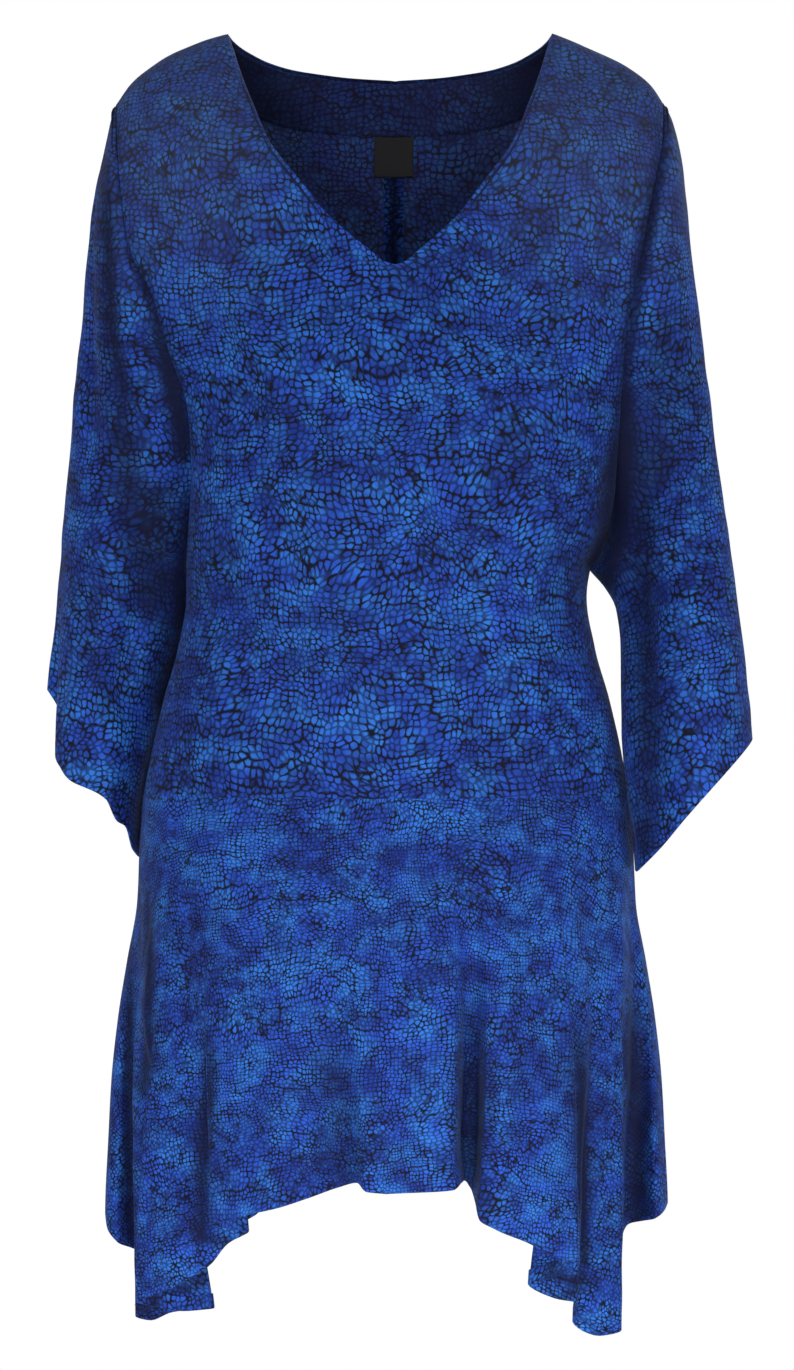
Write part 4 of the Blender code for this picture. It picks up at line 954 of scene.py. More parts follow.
def share_seams(surfaces):
    """Gives each point its way out of the cloth, the same on both sides of a seam.

    Where a sleeve and the body face each other across the armhole, each keeps its own.
    """
    names, sheets = list(surfaces), list(surfaces.values())
    counts = [sheet["grid"].size // 3 for sheet in sheets]
    points = np.concatenate([sheet["grid"].reshape(-1, 3) for sheet in sheets])
    facing = np.concatenate(
        [point_facing(sheet["grid"], sheet["outside"]).reshape(-1, 3) for sheet in sheets]
    )
    groups = [name if name.startswith("sleeve") else "body" for name in names]
    number = np.repeat([groups.index(group) for group in groups], counts)
    places = np.round(points, PLACE_DIGITS)
    shared = added_up(places, facing)
    alone = added_up(np.column_stack([places, number]), facing)
    level = np.abs(points[:, 2] + HIP_DROP) < NOTHING
    for ways in (shared, alone):
        ways[level, 2] = 0
    shared, alone = unit(shared), unit(alone)
    opposed = np.sum(shared * alone, axis=1) < OPPOSED
    ways = np.where(opposed[:, None], alone, shared)
    for sheet, some in zip(sheets, np.split(ways, np.cumsum(counts)[:-1])):
        sheet["ways"] = some.reshape(sheet["grid"].shape)


# ---- Making cloth ------------------------------------------------------------------------------

FOLD_ANGLES = np.radians([45, 90, 135, 180])
EDGE_PRESS = 0.00035  # how far a turned edge presses over the seam's line
MOST_DRAWN = 0.4  # share of a row, that a turn may take up at each end
LEAST_SQUARE = 0.35  # sine between a row and the edge, below which it is drawn in no further
# SEAM_SHADE is shade painted along a seam's line, seen from the inside.
SEAM_SHADE = 0.9  # how much darker a seam's line looks from the inside
SHARP_ANGLE = math.radians(75)  # edges that turn more than this are shaded sharp
JOINED_DIGITS = 6  # points of a piece that agree to these decimals are one
SEAM_ALLOWANCE = 0.007
HEM_ALLOWANCE = 0.010
NARROW_ALLOWANCE = 0.003
SIDE_SEAM_SHARE = 0.95  # of a flounce's half width: beyond it an edge is a side seam
HIP_SEAM_REACH = 0.02  # a flounce's edge is its hip seam down to this far below the hip
SLEEVE_HEAD = (0.01, 0.15)  # below the shoulder tip, over which a sleeve's turn widens
SLEEVE_HEM_START = 0.05  # below the underarm: from here down a sleeve's edge is its hem
BACK_NECK_DROP = 0.027  # a back's edge is its neck down to here


def shorten(layers, room):
    """Draws both ends of each row in, until its edges stand this far from where they were."""
    points = layers[..., :3]
    walked = walked_along(points, 1)
    pulls = []
    for end, inner in ((0, 1), (-1, -2)):
        along_edge = np.gradient(points[:, end], axis=0)
        is_edge = np.linalg.norm(along_edge, axis=-1) > NOTHING
        across = np.cross(unit(along_edge), unit(points[:, inner] - points[:, end]))
        pull = is_edge * room / np.maximum(np.linalg.norm(across, axis=-1), LEAST_SQUARE)
        pulls.append(np.minimum(pull, MOST_DRAWN * walked[:, -1]))
    drawn = layers.copy()
    for row, (way, first, last) in enumerate(zip(walked, *pulls)):
        if way[-1] < NOTHING:
            continue
        places = first + way * (way[-1] - first - last) / way[-1]
        for layer in range(layers.shape[-1]):
            drawn[row, :, layer] = np.interp(places, way, layers[row, :, layer])
    return drawn


def cells_of(shape, joined, outside):
    """The grid's cells by their corners' numbers: quads, and triangles where two corners meet."""
    number = np.arange(shape[0] * shape[1]).reshape(shape)
    quads = np.stack([number[:-1, :-1], number[1:, :-1], number[1:, 1:], number[:-1, 1:]], axis=-1)
    quads = quads.reshape(-1, 4)[:, ::outside]
    doubled = joined[quads] == joined[np.roll(quads, 1, axis=1)]
    thin = doubled.sum(axis=1) == 1
    return quads[~doubled.any(axis=1)], quads[thin][~doubled[thin]].reshape(-1, 3)


def open_edges(cells, joined):
    """The directed edges that only one cell has: both ends, and the corners before and after."""
    sides = []
    for corners in cells:
        for turn in range(corners.shape[1]):
            sides.append(np.roll(corners, -turn, axis=1)[:, [0, 1, -1, 2]])
    sides = np.concatenate(sides)
    count = joined.max() + 1
    start, end = joined[sides[:, 0]], joined[sides[:, 1]]
    return sides[~np.isin(start * count + end, end * count + start)]


def turned_wall(name, surface, thickness, room, turn, materials):
    """A closed thin wall of cloth, with its edges turned under.

    room is what is left open inside the turn, and turn gives its width at each edge point.
    """
    radius = room + thickness
    layers = np.concatenate([surface[key] for key in ("grid", "ways", "flat", "shades")], axis=-1)
    layers = shorten(layers, radius - EDGE_PRESS)
    layers = shorten(layers.swapaxes(0, 1), radius - EDGE_PRESS).swapaxes(0, 1)
    layers = layers.reshape(-1, layers.shape[-1])
    points, ways, flat, shades = np.split(layers, (3, 6, 8), axis=-1)
    points_at = np.round(points, JOINED_DIGITS)
    _, first, joined = np.unique(points_at, axis=0, return_index=True, return_inverse=True)
    joined = joined.reshape(-1)
    place, way = points[first], unit(ways[first])
    cells = cells_of(surface["grid"].shape[:2], joined, surface["outside"])
    a, b, before, after = open_edges(cells, joined).T
    count = len(place)

    inward = np.zeros((count, 3))
    np.add.at(inward, joined[a], unit(points[before] - points[a]))
    np.add.at(inward, joined[b], unit(points[after] - points[b]))
    rim = np.unique(joined[np.concatenate([a, b])])
    slot = np.zeros(count, int)
    slot[rim] = np.arange(len(rim))
    down = way[rim]
    back = unit(inward[rim] - down * np.sum(inward[rim] * down, axis=1, keepdims=True))

    def ring(inset, depth):
        return place[rim] + back * np.reshape(inset, (-1, 1)) - down * depth

    vertices = [place, place - way * thickness]
    for angle in FOLD_ANGLES:
        for bend in (radius, room):
            vertices.append(ring(-bend * math.sin(angle), radius - bend * math.cos(angle)))
    width = turn(place[rim])
    vertices += [ring(width, 2 * radius), ring(width, radius + room)]
    vertices = np.concatenate(vertices)
    # Painted shade of the wall: the rim's outside and inside shade on the first rings, and on the
    # turned strip the inside's painted shade, deepened along seams.
    outside, inside = shades[first].T
    seam = np.where(width < HEM_ALLOWANCE, SEAM_SHADE, 0)
    turned = 1 - (1 - inside[rim]) * (1 - seam)
    shades = [outside, inside]
    shades += [outside[rim]] * 4 + [turned] * 4 + [inside[rim]] * 2

    def numbers(ring_number, skin, corners):
        if ring_number == 0:
            return corners + skin * count
        return 2 * count + (2 * (ring_number - 1) + skin) * len(rim) + slot[corners]

    faces, maps, slots = [], [], []

    def add_faces(corners, places, material):
        faces.append(corners)
        maps.append(places)
        slots.append(np.full(len(corners), material))

    for corners in cells:
        add_faces(joined[corners], flat[corners], 0)
        add_faces(joined[corners][:, ::-1] + count, flat[corners][:, ::-1], 1)
    flat_in = [unit(flat[near] - flat[edge]) for near, edge in ((before, a), (after, b))]
    passed = np.concatenate([[0.0], radius * FOLD_ANGLES, [math.pi * radius + SEAM_ALLOWANCE]])
    j, k = joined[a], joined[b]
    last = len(FOLD_ANGLES) + 1
    for step in range(last):
        near, far = passed[step], passed[step + 1]
        places = np.stack(
            [flat[b] - flat_in[1] * near, flat[a] - flat_in[0] * near,
             flat[a] - flat_in[0] * far, flat[b] - flat_in[1] * far], axis=1,
        )
        for skin, order in ((0, 1), (1, -1)):
            corners = [numbers(step, skin, k), numbers(step, skin, j),
                       numbers(step + 1, skin, j), numbers(step + 1, skin, k)]
            add_faces(np.stack(corners, axis=1)[:, ::order], places[:, ::order], skin)
    ends = [numbers(last, 0, k), numbers(last, 0, j), numbers(last, 1, j), numbers(last, 1, k)]
    add_faces(np.stack(ends, axis=1), np.stack([flat[b], flat[a], flat[a], flat[b]], axis=1), 1)
    return new_piece(name, vertices, np.concatenate(shades), faces, maps, slots, materials)


def new_piece(name, vertices, shades, faces, maps, slots, materials):
    """A mesh object from blocks of faces that have the same number of corners."""
    mesh = bpy.data.meshes.new(name)
    corners = np.concatenate([block.reshape(-1) for block in faces])
    sizes = np.concatenate([np.full(len(block), block.shape[1]) for block in faces])
    mesh.vertices.add(len(vertices))
    mesh.vertices.foreach_set("co", vertices.astype(np.float32).reshape(-1))
    mesh.loops.add(len(corners))
    mesh.loops.foreach_set("vertex_index", corners.astype(np.int32))
    mesh.polygons.add(len(sizes))
    mesh.polygons.foreach_set("loop_start", (np.cumsum(sizes) - sizes).astype(np.int32))
    mesh.update(calc_edges=True)
    layer = mesh.uv_layers.new(name="Cloth")
    places = np.concatenate([block.reshape(-1, 2) for block in maps])
    layer.data.foreach_set("uv", places.astype(np.float32).reshape(-1))
    for material in materials:
        mesh.materials.append(material)
    mesh.polygons.foreach_set("material_index", np.concatenate(slots).astype(np.int32))
    mesh.shade_smooth()
    mesh.set_sharp_from_angle(angle=SHARP_ANGLE)
    # The hollow attribute holds the shade painted for folds, seams and the garment's inside, which
    # the print is darkened by.
    painted_shades = mesh.attributes.new("hollow", "FLOAT", "POINT")
    painted_shades.data.foreach_set("value", shades.astype(np.float32))
    mesh.validate()
    return add_object(name, mesh)


def turned_width(name):
    """How far a piece is turned under, as a function of its edge's points."""

    def width(points):
        drop = -points[:, 2]
        widths = np.full(len(points), SEAM_ALLOWANCE)
        if name.startswith("flounce"):
            half = np.interp(drop, CONE["drop"], CONE["half"])
            at_side = np.abs(points[:, 0]) > SIDE_SEAM_SHARE * half
            widths[(drop > HIP_DROP + HIP_SEAM_REACH) & ~at_side] = HEM_ALLOWANCE
        elif name.startswith("sleeve"):
            full = soften(drop, *(SHOULDER_DROP + below for below in SLEEVE_HEAD))
            widths = NARROW_ALLOWANCE + full * (SEAM_ALLOWANCE - NARROW_ALLOWANCE)
            widths[drop > UNDERARM_DROP + SLEEVE_HEM_START] = HEM_ALLOWANCE
        elif name.startswith("back"):
            at_neck = (np.abs(points[:, 0]) < NECK_HALF) & (drop < BACK_NECK_DROP)
            widths[at_neck] = NARROW_ALLOWANCE
        return widths

    return width


# ---- Facing and label --------------------------------------------------------------------------

FACING_DEPTH = 0.0031  # the facing's showing side, below the back's outside
FACING_CLOTH = 0.0005  # its thickness
FACING_TOP = 1.4  # fine rows from the back's neck edge to the facing's
FACING_LEAST = 0.6  # fine rows that it still spans at its ends
FACING_TAPER = 0.7  # how bluntly it narrows to them
FACING_ROWS = 17
LABEL_DEPTH = 0.0028
LABEL_CLOTH = 0.0003
LABEL_TOP = 0.03  # of a row, by which the label starts below the facing's end
LABEL_POINTS = 21  # each way
LINING_ROOM = 0.0001  # left open inside their turned edges
LINING_TURN = 0.002  # how far those are turned under
# Painted shade on the facing and label, which lie deep inside the neck, where little light reaches.
LINING_SHADE = 0.30  # how dark they look at the middle, and how much darker towards the shoulders
LINING_SHADE_RISE = 0.60
LINING_SHADE_REACH = (0.03, 0.11)  # from the middle, over which it rises


def whole_back(key):
    """Both backs as one grid, from the wearer's right to their left."""
    backs = tunic_surfaces()
    return np.concatenate([backs["back_right"][key], backs["back_left"][key][:, 1:]], axis=1)


def lining_surface(columns, rows, depth):
    """A piece that lies against the inside of the back.

    Its columns are fine columns of the back, from the middle one, and its rows are fine rows of it.
    """
    grid = whole_back("grid")
    columns = np.broadcast_to(columns + grid.shape[1] // 2, rows.shape)
    ways = unit(read_grid(whole_back("ways"), rows, columns))
    points = read_grid(grid, rows, columns) - ways * depth
    flat = laid_flat(points, unrolled(points))
    size, area = cut_size(flat)
    # Painted shade, darker towards the shoulders.
    off_middle = np.abs(points[..., 0] - V_OFF_CENTRE)
    shade = LINING_SHADE + LINING_SHADE_RISE * soften(off_middle, *LINING_SHADE_REACH)
    return {
        "grid": points, "ways": -ways, "flat": flat, "shades": np.stack([shade, shade], axis=-1),
        "outside": 1, "size": size, "area": area,
    }


def facing_surface():
    column_parts, row_parts = BODICE_PARTS
    reach = (BACK_NECK_SPANS + FACING_SHOULDER_COLUMNS) * column_parts
    columns = np.arange(-reach, reach + 1)
    taper = np.clip((reach - np.abs(columns)) / column_parts, 0.0, 1.0) ** FACING_TAPER
    depth = FACING_ROW * row_parts * taper
    share = np.linspace(0, 1, FACING_ROWS)[:, None]
    rows = FACING_TOP + share * np.maximum(depth[None, :] - FACING_TOP, FACING_LEAST)
    return lining_surface(columns[None, :].astype(float), rows, FACING_DEPTH)


def label_surface():
    column_parts, row_parts = BODICE_PARTS
    half = LABEL_SHARE * column_parts
    columns = np.linspace(-half, half, LABEL_POINTS)[None, :]
    rows = row_parts * (FACING_ROW + np.linspace(LABEL_TOP, 1, LABEL_POINTS)[:, None])
    return lining_surface(columns, np.broadcast_to(rows, (LABEL_POINTS, LABEL_POINTS)), LABEL_DEPTH)


# ---- Shading -----------------------------------------------------------------------------------

# Numbers of the sockets that are used of nodes with several alike: outputs, and then inputs.
NOISE_COLOUR = 1
WAVE_HEIGHT = 1
MIXED_COLOUR = 2
ATTRIBUTE_VALUE = 2
OBJECT_PLACE = 3
MIX_LOW = 6
MIX_HIGH = 7
VECTOR_SCALE = 3
RIB_SCALE = 0.5  # a wave texture's scale, times the width of its ribs


class Shade:
    """A socket in a shader's node tree. Arithmetic on it adds Math nodes."""

    def __init__(self, tree, socket):
        self.tree = tree
        self.socket = socket

    def node(self, kind, inputs=(), output=0, **settings):
        """Adds a node: its settings first, then the values or links of its sockets."""
        return add_node(self.tree, kind, inputs, output, **settings)

    def math(self, operation, *others, turned=False):
        values = [self, *others]
        if turned:
            values = values[::-1]
        return self.node("ShaderNodeMath", dict(enumerate(values)), operation=operation)

    def __add__(self, other):
        return self.math("ADD", other)

    def __sub__(self, other):
        return self.math("SUBTRACT", other)

    def __mul__(self, other):
        return self.math("MULTIPLY", other)

    def __rsub__(self, other):
        return self.math("SUBTRACT", other, turned=True)

    __radd__ = __add__

    def between(self, low, high):
        """0 below low and 1 above high, smoothly. low and high may vary too."""
        inputs = {0: self, 1: low, 2: high, 3: 0.0, 4: 1.0}
        return self.node("ShaderNodeMapRange", inputs, interpolation_type="SMOOTHSTEP")

    def scaled(self, size):
        """A vector times a number, or times a plain vector."""
        if isinstance(size, tuple):
            return self.node("ShaderNodeVectorMath", {0: self, 1: size}, operation="MULTIPLY")
        inputs = {0: self, VECTOR_SCALE: size}
        return self.node("ShaderNodeVectorMath", inputs, operation="SCALE")

    def moved(self, way):
        return self.node("ShaderNodeVectorMath", {0: self, 1: way}, operation="ADD")

    def noise(self, scale, detail=2.0, roughness=0.5, output=0):
        inputs = {"Vector": self, "Scale": scale, "Detail": detail, "Roughness": roughness}
        return self.node("ShaderNodeTexNoise", inputs, output, noise_dimensions="2D")

    def patches(self, scale, low, high, detail=1.0, roughness=0.5):
        """Noise that is 0 where it lies below low and 1 above high."""
        return self.noise(scale, detail, roughness).between(low, high)

    def cells(self, scale, randomness, feature="F1"):
        """The distance to the nearest cell's middle, a number of its own, and the middle's place.

        With feature F2, they are the next nearest cell's.
        """
        inputs = {"Vector": self, "Scale": scale, "Randomness": randomness}
        kind = "ShaderNodeTexVoronoi"
        distance = self.node(kind, inputs, 0, voronoi_dimensions="2D", feature=feature)
        outputs = distance.socket.node.outputs
        return distance, Shade(self.tree, outputs["Color"]), Shade(self.tree, outputs["Position"])


def add_node(tree, kind, inputs=(), output=0, **settings):
    node = tree.nodes.new(kind)
    for setting, value in settings.items():
        setattr(node, setting, value)
    for socket, value in dict(inputs).items():
        if isinstance(value, Shade):
            tree.links.new(value.socket, node.inputs[socket])
        else:
            node.inputs[socket].default_value = value
    return Shade(tree, node.outputs[output])


def mixed_colours(share, low, high):
    """low where share is 0 and high where it is 1. One of the three at least is a Shade."""
    known = next(item for item in (share, low, high) if isinstance(item, Shade))
    ends = [item if isinstance(item, Shade) else (*item, 1) for item in (low, high)]
    inputs = {0: share, MIX_LOW: ends[0], MIX_HIGH: ends[1]}
    return known.node("ShaderNodeMix", inputs, MIXED_COLOUR, data_type="RGBA")


def new_tree(name):
    """A new material's empty node tree."""
    material = bpy.data.materials.new(name)
    material.use_nodes = True
    material.node_tree.nodes.clear()
    return material, material.node_tree


def shade_with(tree, inputs):
    """Gives a tree its shader, from the values or links of its sockets."""
    shader = add_node(tree, "ShaderNodeBsdfPrincipled", inputs)
    output = tree.nodes.new("ShaderNodeOutputMaterial")
    tree.links.new(shader.socket, output.inputs["Surface"])


def cloth_map(tree):
    """Where a point lies on its piece's flat cut, in metres."""
    return add_node(tree, "ShaderNodeUVMap", uv_map="Cloth")


def object_place(tree):
    return add_node(tree, "ShaderNodeTexCoord", (), OBJECT_PLACE)


# The slow, middle and fine bends of the print's rows: scale, roughness, and how far they shift it.
BENDS = ((12.0, 0.4, 0.026), (34.0, 0.4, 0.0065), (150.0, 0.5, 0.0016))
NOISE_MIDDLE = (-0.5, -0.5, -0.5)
# Patches of noise over the print: scale, levels, detail and roughness.
ORDERLY = (17.0, 0.38, 0.60)  # where the cells stand in rows
CRACKED = (30.0, 0.46, 0.64)  # where groups of cells come apart
WAVERING = (210.0, 0.25, 0.75)  # where cracks are wide
DEEP = (85.0, 0.35, 0.65)  # where cracks are dark
BROAD = (9.0, 0.34, 0.66, 2.0)  # where the blue is bright: in broad patches, bands and a mottle
BANDED = (19.0, 0.34, 0.66, 2.0)
MOTTLED = (60.0, 0.30, 0.70, 2.0, 0.6)
VIOLET = (38.0, 0.38, 0.64)
# How far patches are drawn out, across and down.
GROUP_STRETCH = (0.72, 1.40, 1.0)
CRACKED_STRETCH = (0.7, 1.3, 1.0)
BAND_STRETCH = (0.8, 1.7, 1.0)
# How irregular the cells are, and how much less so in orderly patches.
CELL_RANDOMNESS = 0.94
CELL_ORDER = 0.36
CORNER = (0.28, 0.72)  # distances from a cell's middle, over which its corners are rounded
CORNER_ROUNDING = 0.16  # how much less of a corner is left
CELLS_PER_GROUP = 4.6  # the length of a group, in cells
GROUP_RANDOMNESS = 0.9
SAME_GROUP = 0.02  # groups whose numbers differ by more than this are apart
# Half a crack's width: everywhere, more where it wavers, and more between groups.
CRACK_WIDTHS = (0.72, 0.7, 1.3)
CRACK_EDGES = (0.05, 2.5)  # where a crack starts to fade and ends, in half widths
CRACK_DEPTHS = (0.66, 0.34)  # how dark a crack is, and more in deep patches
# How much the cell's own number, broad patches, bands and mottle each add to how bright it is.
BRIGHTNESS_SHARES = (0.30, 0.20, 0.26, 0.38)
BRIGHTNESS = (0.10, 0.98)  # sums at which the paint is darkest and lightest


def warped(flat):
    """The cut's places, bent slowly and then finely, so that the print's rows curve and wander."""
    bent = flat
    for scale, roughness, reach in BENDS:
        bend = flat.noise(scale, 1.0, roughness, NOISE_COLOUR).moved(NOISE_MIDDLE)
        bent = bent.moved(bend.scaled(reach))
    return bent


def crackle(flat, cell_size, crack_width):
    """How blue the print is at each place, how bright that blue is, and how violet."""
    bent = warped(flat)
    size = 1 / cell_size
    random = CELL_RANDOMNESS - flat.patches(*ORDERLY) * CELL_ORDER
    own, number, middle = bent.cells(size, random)
    other, _, other_middle = bent.cells(size, random, "F2")
    gap = other - own - own.between(*CORNER) * CORNER_ROUNDING

    groups = [
        place.scaled(GROUP_STRETCH).cells(size / CELLS_PER_GROUP, GROUP_RANDOMNESS)[1]
        for place in (middle, other_middle)
    ]
    apart = (groups[0] - groups[1]).math("ABSOLUTE").between(0.0, SAME_GROUP)
    apart = apart * flat.scaled(CRACKED_STRETCH).patches(*CRACKED)
    everywhere, wavering, between_groups = CRACK_WIDTHS
    width = everywhere + flat.patches(*WAVERING) * wavering + apart * between_groups
    half = width * (crack_width * size)
    depth = CRACK_DEPTHS[0] + flat.patches(*DEEP) * CRACK_DEPTHS[1] + apart
    clear = gap.between(*(half * edge for edge in CRACK_EDGES))
    blue = 1 - (1 - clear) * depth.math("MINIMUM", 1.0)

    layers = (
        number, flat.patches(*BROAD), flat.scaled(BAND_STRETCH).patches(*BANDED),
        flat.patches(*MOTTLED),
    )
    first, *rest = (layer * share for layer, share in zip(layers, BRIGHTNESS_SHARES))
    return blue, sum(rest, first), flat.patches(*VIOLET)


RIB_STRETCH = (1.0, 0.6, 1.0)
RIB_WAVER = 1.5


def weave(flat, settings):
    """The knit's fine ribs, as a height."""
    ribs = flat.scaled(RIB_STRETCH)
    scale = RIB_SCALE / settings.rib_width
    wave = {"Vector": ribs, "Scale": scale, "Distortion": RIB_WAVER, "Detail": 1.0}
    return ribs.node("ShaderNodeTexWave", wave, WAVE_HEIGHT, bands_direction="X")


# Where sheen is painted over the shoulders' print: out from the middle, and up from the neck
# points.
SHEEN_PAINT_OUTWARD = (0.03, 0.13)
SHEEN_PAINT_UPWARD = (-0.26, -0.08)


def sheen_paint_on_shoulders(tree):
    """0 over the body, and 1 out on the shoulders and the heads of the sleeves, where sheen is
    painted.
    """
    place = object_place(tree)
    outward = place.node("ShaderNodeSeparateXYZ", {0: place}, 0).math("ABSOLUTE")
    upward = place.node("ShaderNodeSeparateXYZ", {0: place}, 2)
    return outward.between(*SHEEN_PAINT_OUTWARD) * upward.between(*SHEEN_PAINT_UPWARD)


# Noises of the jersey's surface: scale and detail, and how much each adds.
ROUGH_NOISE = (90.0, 2.0)
ROUGHNESS = (0.74, 0.12)
CRUMPLES = (((70.0, 3.0), 0.6), ((240.0, 2.0), 0.25))
JERSEY = {
    "Sheen Roughness": 0.45, "Sheen Tint": (0.55, 0.68, 1.0, 1.0), "Specular IOR Level": 0.2,
}


def bumps(height):
    """The shader's normal over bumps of this height, in metres."""
    return height.node("ShaderNodeBump", {"Height": height, "Strength": 1.0, "Distance": 1.0})


def print_cloth(name, settings, cell_size, fading):
    """The crackle print. fading is 0 on the right side, and more where it only shows through."""
    material, tree = new_tree(name)
    flat = cloth_map(tree)
    crack_width = settings.crack_width * cell_size / settings.cell_size
    blue, bright, violet = crackle(flat, cell_size, crack_width)
    light = mixed_colours(violet, settings.bright_blue, settings.violet_blue)
    paint = mixed_colours(bright.between(*BRIGHTNESS), settings.mid_blue, light)
    colour = mixed_colours(blue, settings.crack_colour, paint)
    # Painted sheen: the shoulders' print is greyed towards a pale blue, as grazing light on the nap
    # would show it.
    sheen_paint = sheen_paint_on_shoulders(tree) * settings.shoulder_sheen_paint
    # Painted shade from the hollow attribute darkens folds, seams and the garment's inside.
    hollow = add_node(tree, "ShaderNodeAttribute", (), ATTRIBUTE_VALUE, attribute_name="hollow")
    for share, over in (
        (sheen_paint, settings.sheen_paint_blue), (fading, settings.wrong_side),
        (hollow, settings.painted_shade_colour),
    ):
        colour = mixed_colours(share, colour, over)
    large, small = (flat.noise(*noise) * share for noise, share in CRUMPLES)
    height = (large + small) * settings.crumple + weave(flat, settings) * settings.rib_height
    shade_with(tree, {
        "Base Color": colour, "Roughness": ROUGHNESS[0] + flat.noise(*ROUGH_NOISE) * ROUGHNESS[1],
        "Normal": bumps(height), "Sheen Weight": settings.sheen, **JERSEY,
    })
    return material


# The label's satin: its noise of flecks, its threads' size, height and waver, and its sheen.
FLECKS = (900.0, 0.35, 0.75, 2.0)
SATIN_THREAD = 0.0003
SATIN_HEIGHT = 0.00002
SATIN_WAVER = 0.3
SATIN_ROUGHNESS = (0.55, 0.15)
SATIN_SHEEN = 0.15


def satin_cloth(name, colour, fleck):
    """A plain woven cloth with a faint fleck."""
    material, tree = new_tree(name)
    flat = cloth_map(tree)
    specks = flat.patches(*FLECKS)
    over = {"Vector": flat, "Scale": RIB_SCALE / SATIN_THREAD, "Distortion": SATIN_WAVER}
    warp, weft = (
        flat.node("ShaderNodeTexWave", over, WAVE_HEIGHT, bands_direction=way) for way in "XY"
    )
    shade_with(tree, {
        "Base Color": mixed_colours(specks, colour, fleck),
        "Roughness": SATIN_ROUGHNESS[0] + specks * SATIN_ROUGHNESS[1],
        "Normal": bumps((warp + weft) * SATIN_HEIGHT), "Sheen Weight": SATIN_SHEEN,
    })
    return material


THREAD_TWIST = (1800.0, 1.0)  # noise: scale and detail
THREAD_SHADOW = 0.5  # of its colour, between its plies
THREAD_ROUGHNESS = (0.5, 0.2)


def thread_material(name, colour):
    material, tree = new_tree(name)
    twist = object_place(tree).noise(*THREAD_TWIST)
    dark = [THREAD_SHADOW * part for part in colour]
    shade_with(tree, {
        "Base Color": mixed_colours(twist, dark, colour),
        "Roughness": THREAD_ROUGHNESS[0] + twist * THREAD_ROUGHNESS[1],
    })
    return material


def both_sides(settings, finer_print=False):
    """The cloth's right side and its wrong side. The flounce's print is finer."""
    cell_size = settings.flounce_cell_size if finer_print else settings.cell_size
    kind = "finer print" if finer_print else "print"
    wrong_fading = 0.0 if finer_print else settings.fading
    return [
        bpy.data.materials.get(name) or print_cloth(name, settings, cell_size, fading)
        for name, fading in ((f"{kind} right side", 0.0), (f"{kind} wrong side", wrong_fading))
    ]


def add_object(name, data):
    thing = bpy.data.objects.new(name, data)
    bpy.context.scene.collection.objects.link(thing)
    return thing


# ---- Stitches ----------------------------------------------------------------------------------

STITCH_LIFT = 0.3  # of the thread's thickness, that a stitch's middle stands off the cloth
UNSEWN = 2  # points at each end of a hem without stitches
FACING_INSET = 0.003  # from the facing's edge to its stitches
STITCH_SEGMENTS = 6
STITCH_RINGS = 4


def inset_line(surface, inset, lift):
    """The line on a piece that runs this far in from its last row."""
    grid, ways = surface["grid"][::-1], surface["ways"][::-1]
    walked = walked_along(grid)
    line = []
    for column in range(grid.shape[1]):
        place, out = (
            np.array([np.interp(inset, walked[:, column], values[:, column, i]) for i in range(3)])
            for values in (grid, ways)
        )
        line.append(place + out * lift)
    return np.array(line)


def stitch_tree(material, sizes):
    """Turns lines into rows of stitches."""
    tree = bpy.data.node_groups.new("stitches", "GeometryNodeTree")
    tree.interface.new_socket("Geometry", in_out="INPUT", socket_type="NodeSocketGeometry")
    for name, value in sizes.items():
        socket = tree.interface.new_socket(name, in_out="INPUT", socket_type="NodeSocketFloat")
        socket.default_value = value
    tree.interface.new_socket("Geometry", in_out="OUTPUT", socket_type="NodeSocketGeometry")
    start = tree.nodes.new("NodeGroupInput")
    lines, pitch, length, thickness = (Shade(tree, start.outputs[i]) for i in range(4))
    curve = add_node(tree, "GeometryNodeMeshToCurve", {0: lines})
    spaced = {"Curve": curve, "Length": pitch}
    points = add_node(tree, "GeometryNodeCurveToPoints", spaced, 0, mode="LENGTH")
    tangent = Shade(tree, points.socket.node.outputs["Tangent"])
    turned = add_node(tree, "FunctionNodeAlignRotationToVector", {"Vector": tangent}, 0, axis="Z")
    round_ball = {"Segments": STITCH_SEGMENTS, "Rings": STITCH_RINGS, "Radius": 0.5}
    ball = add_node(tree, "GeometryNodeMeshUVSphere", round_ball)
    size = add_node(tree, "ShaderNodeCombineXYZ", {0: thickness, 1: thickness, 2: length})
    placed = {"Points": points, "Instance": ball, "Rotation": turned, "Scale": size}
    copies = add_node(tree, "GeometryNodeInstanceOnPoints", placed)
    real = add_node(tree, "GeometryNodeRealizeInstances", {0: copies})
    finished = add_node(tree, "GeometryNodeSetMaterial", {"Geometry": real, "Material": material})
    end = tree.nodes.new("NodeGroupOutput")
    tree.links.new(finished.socket, end.inputs[0])
    return tree


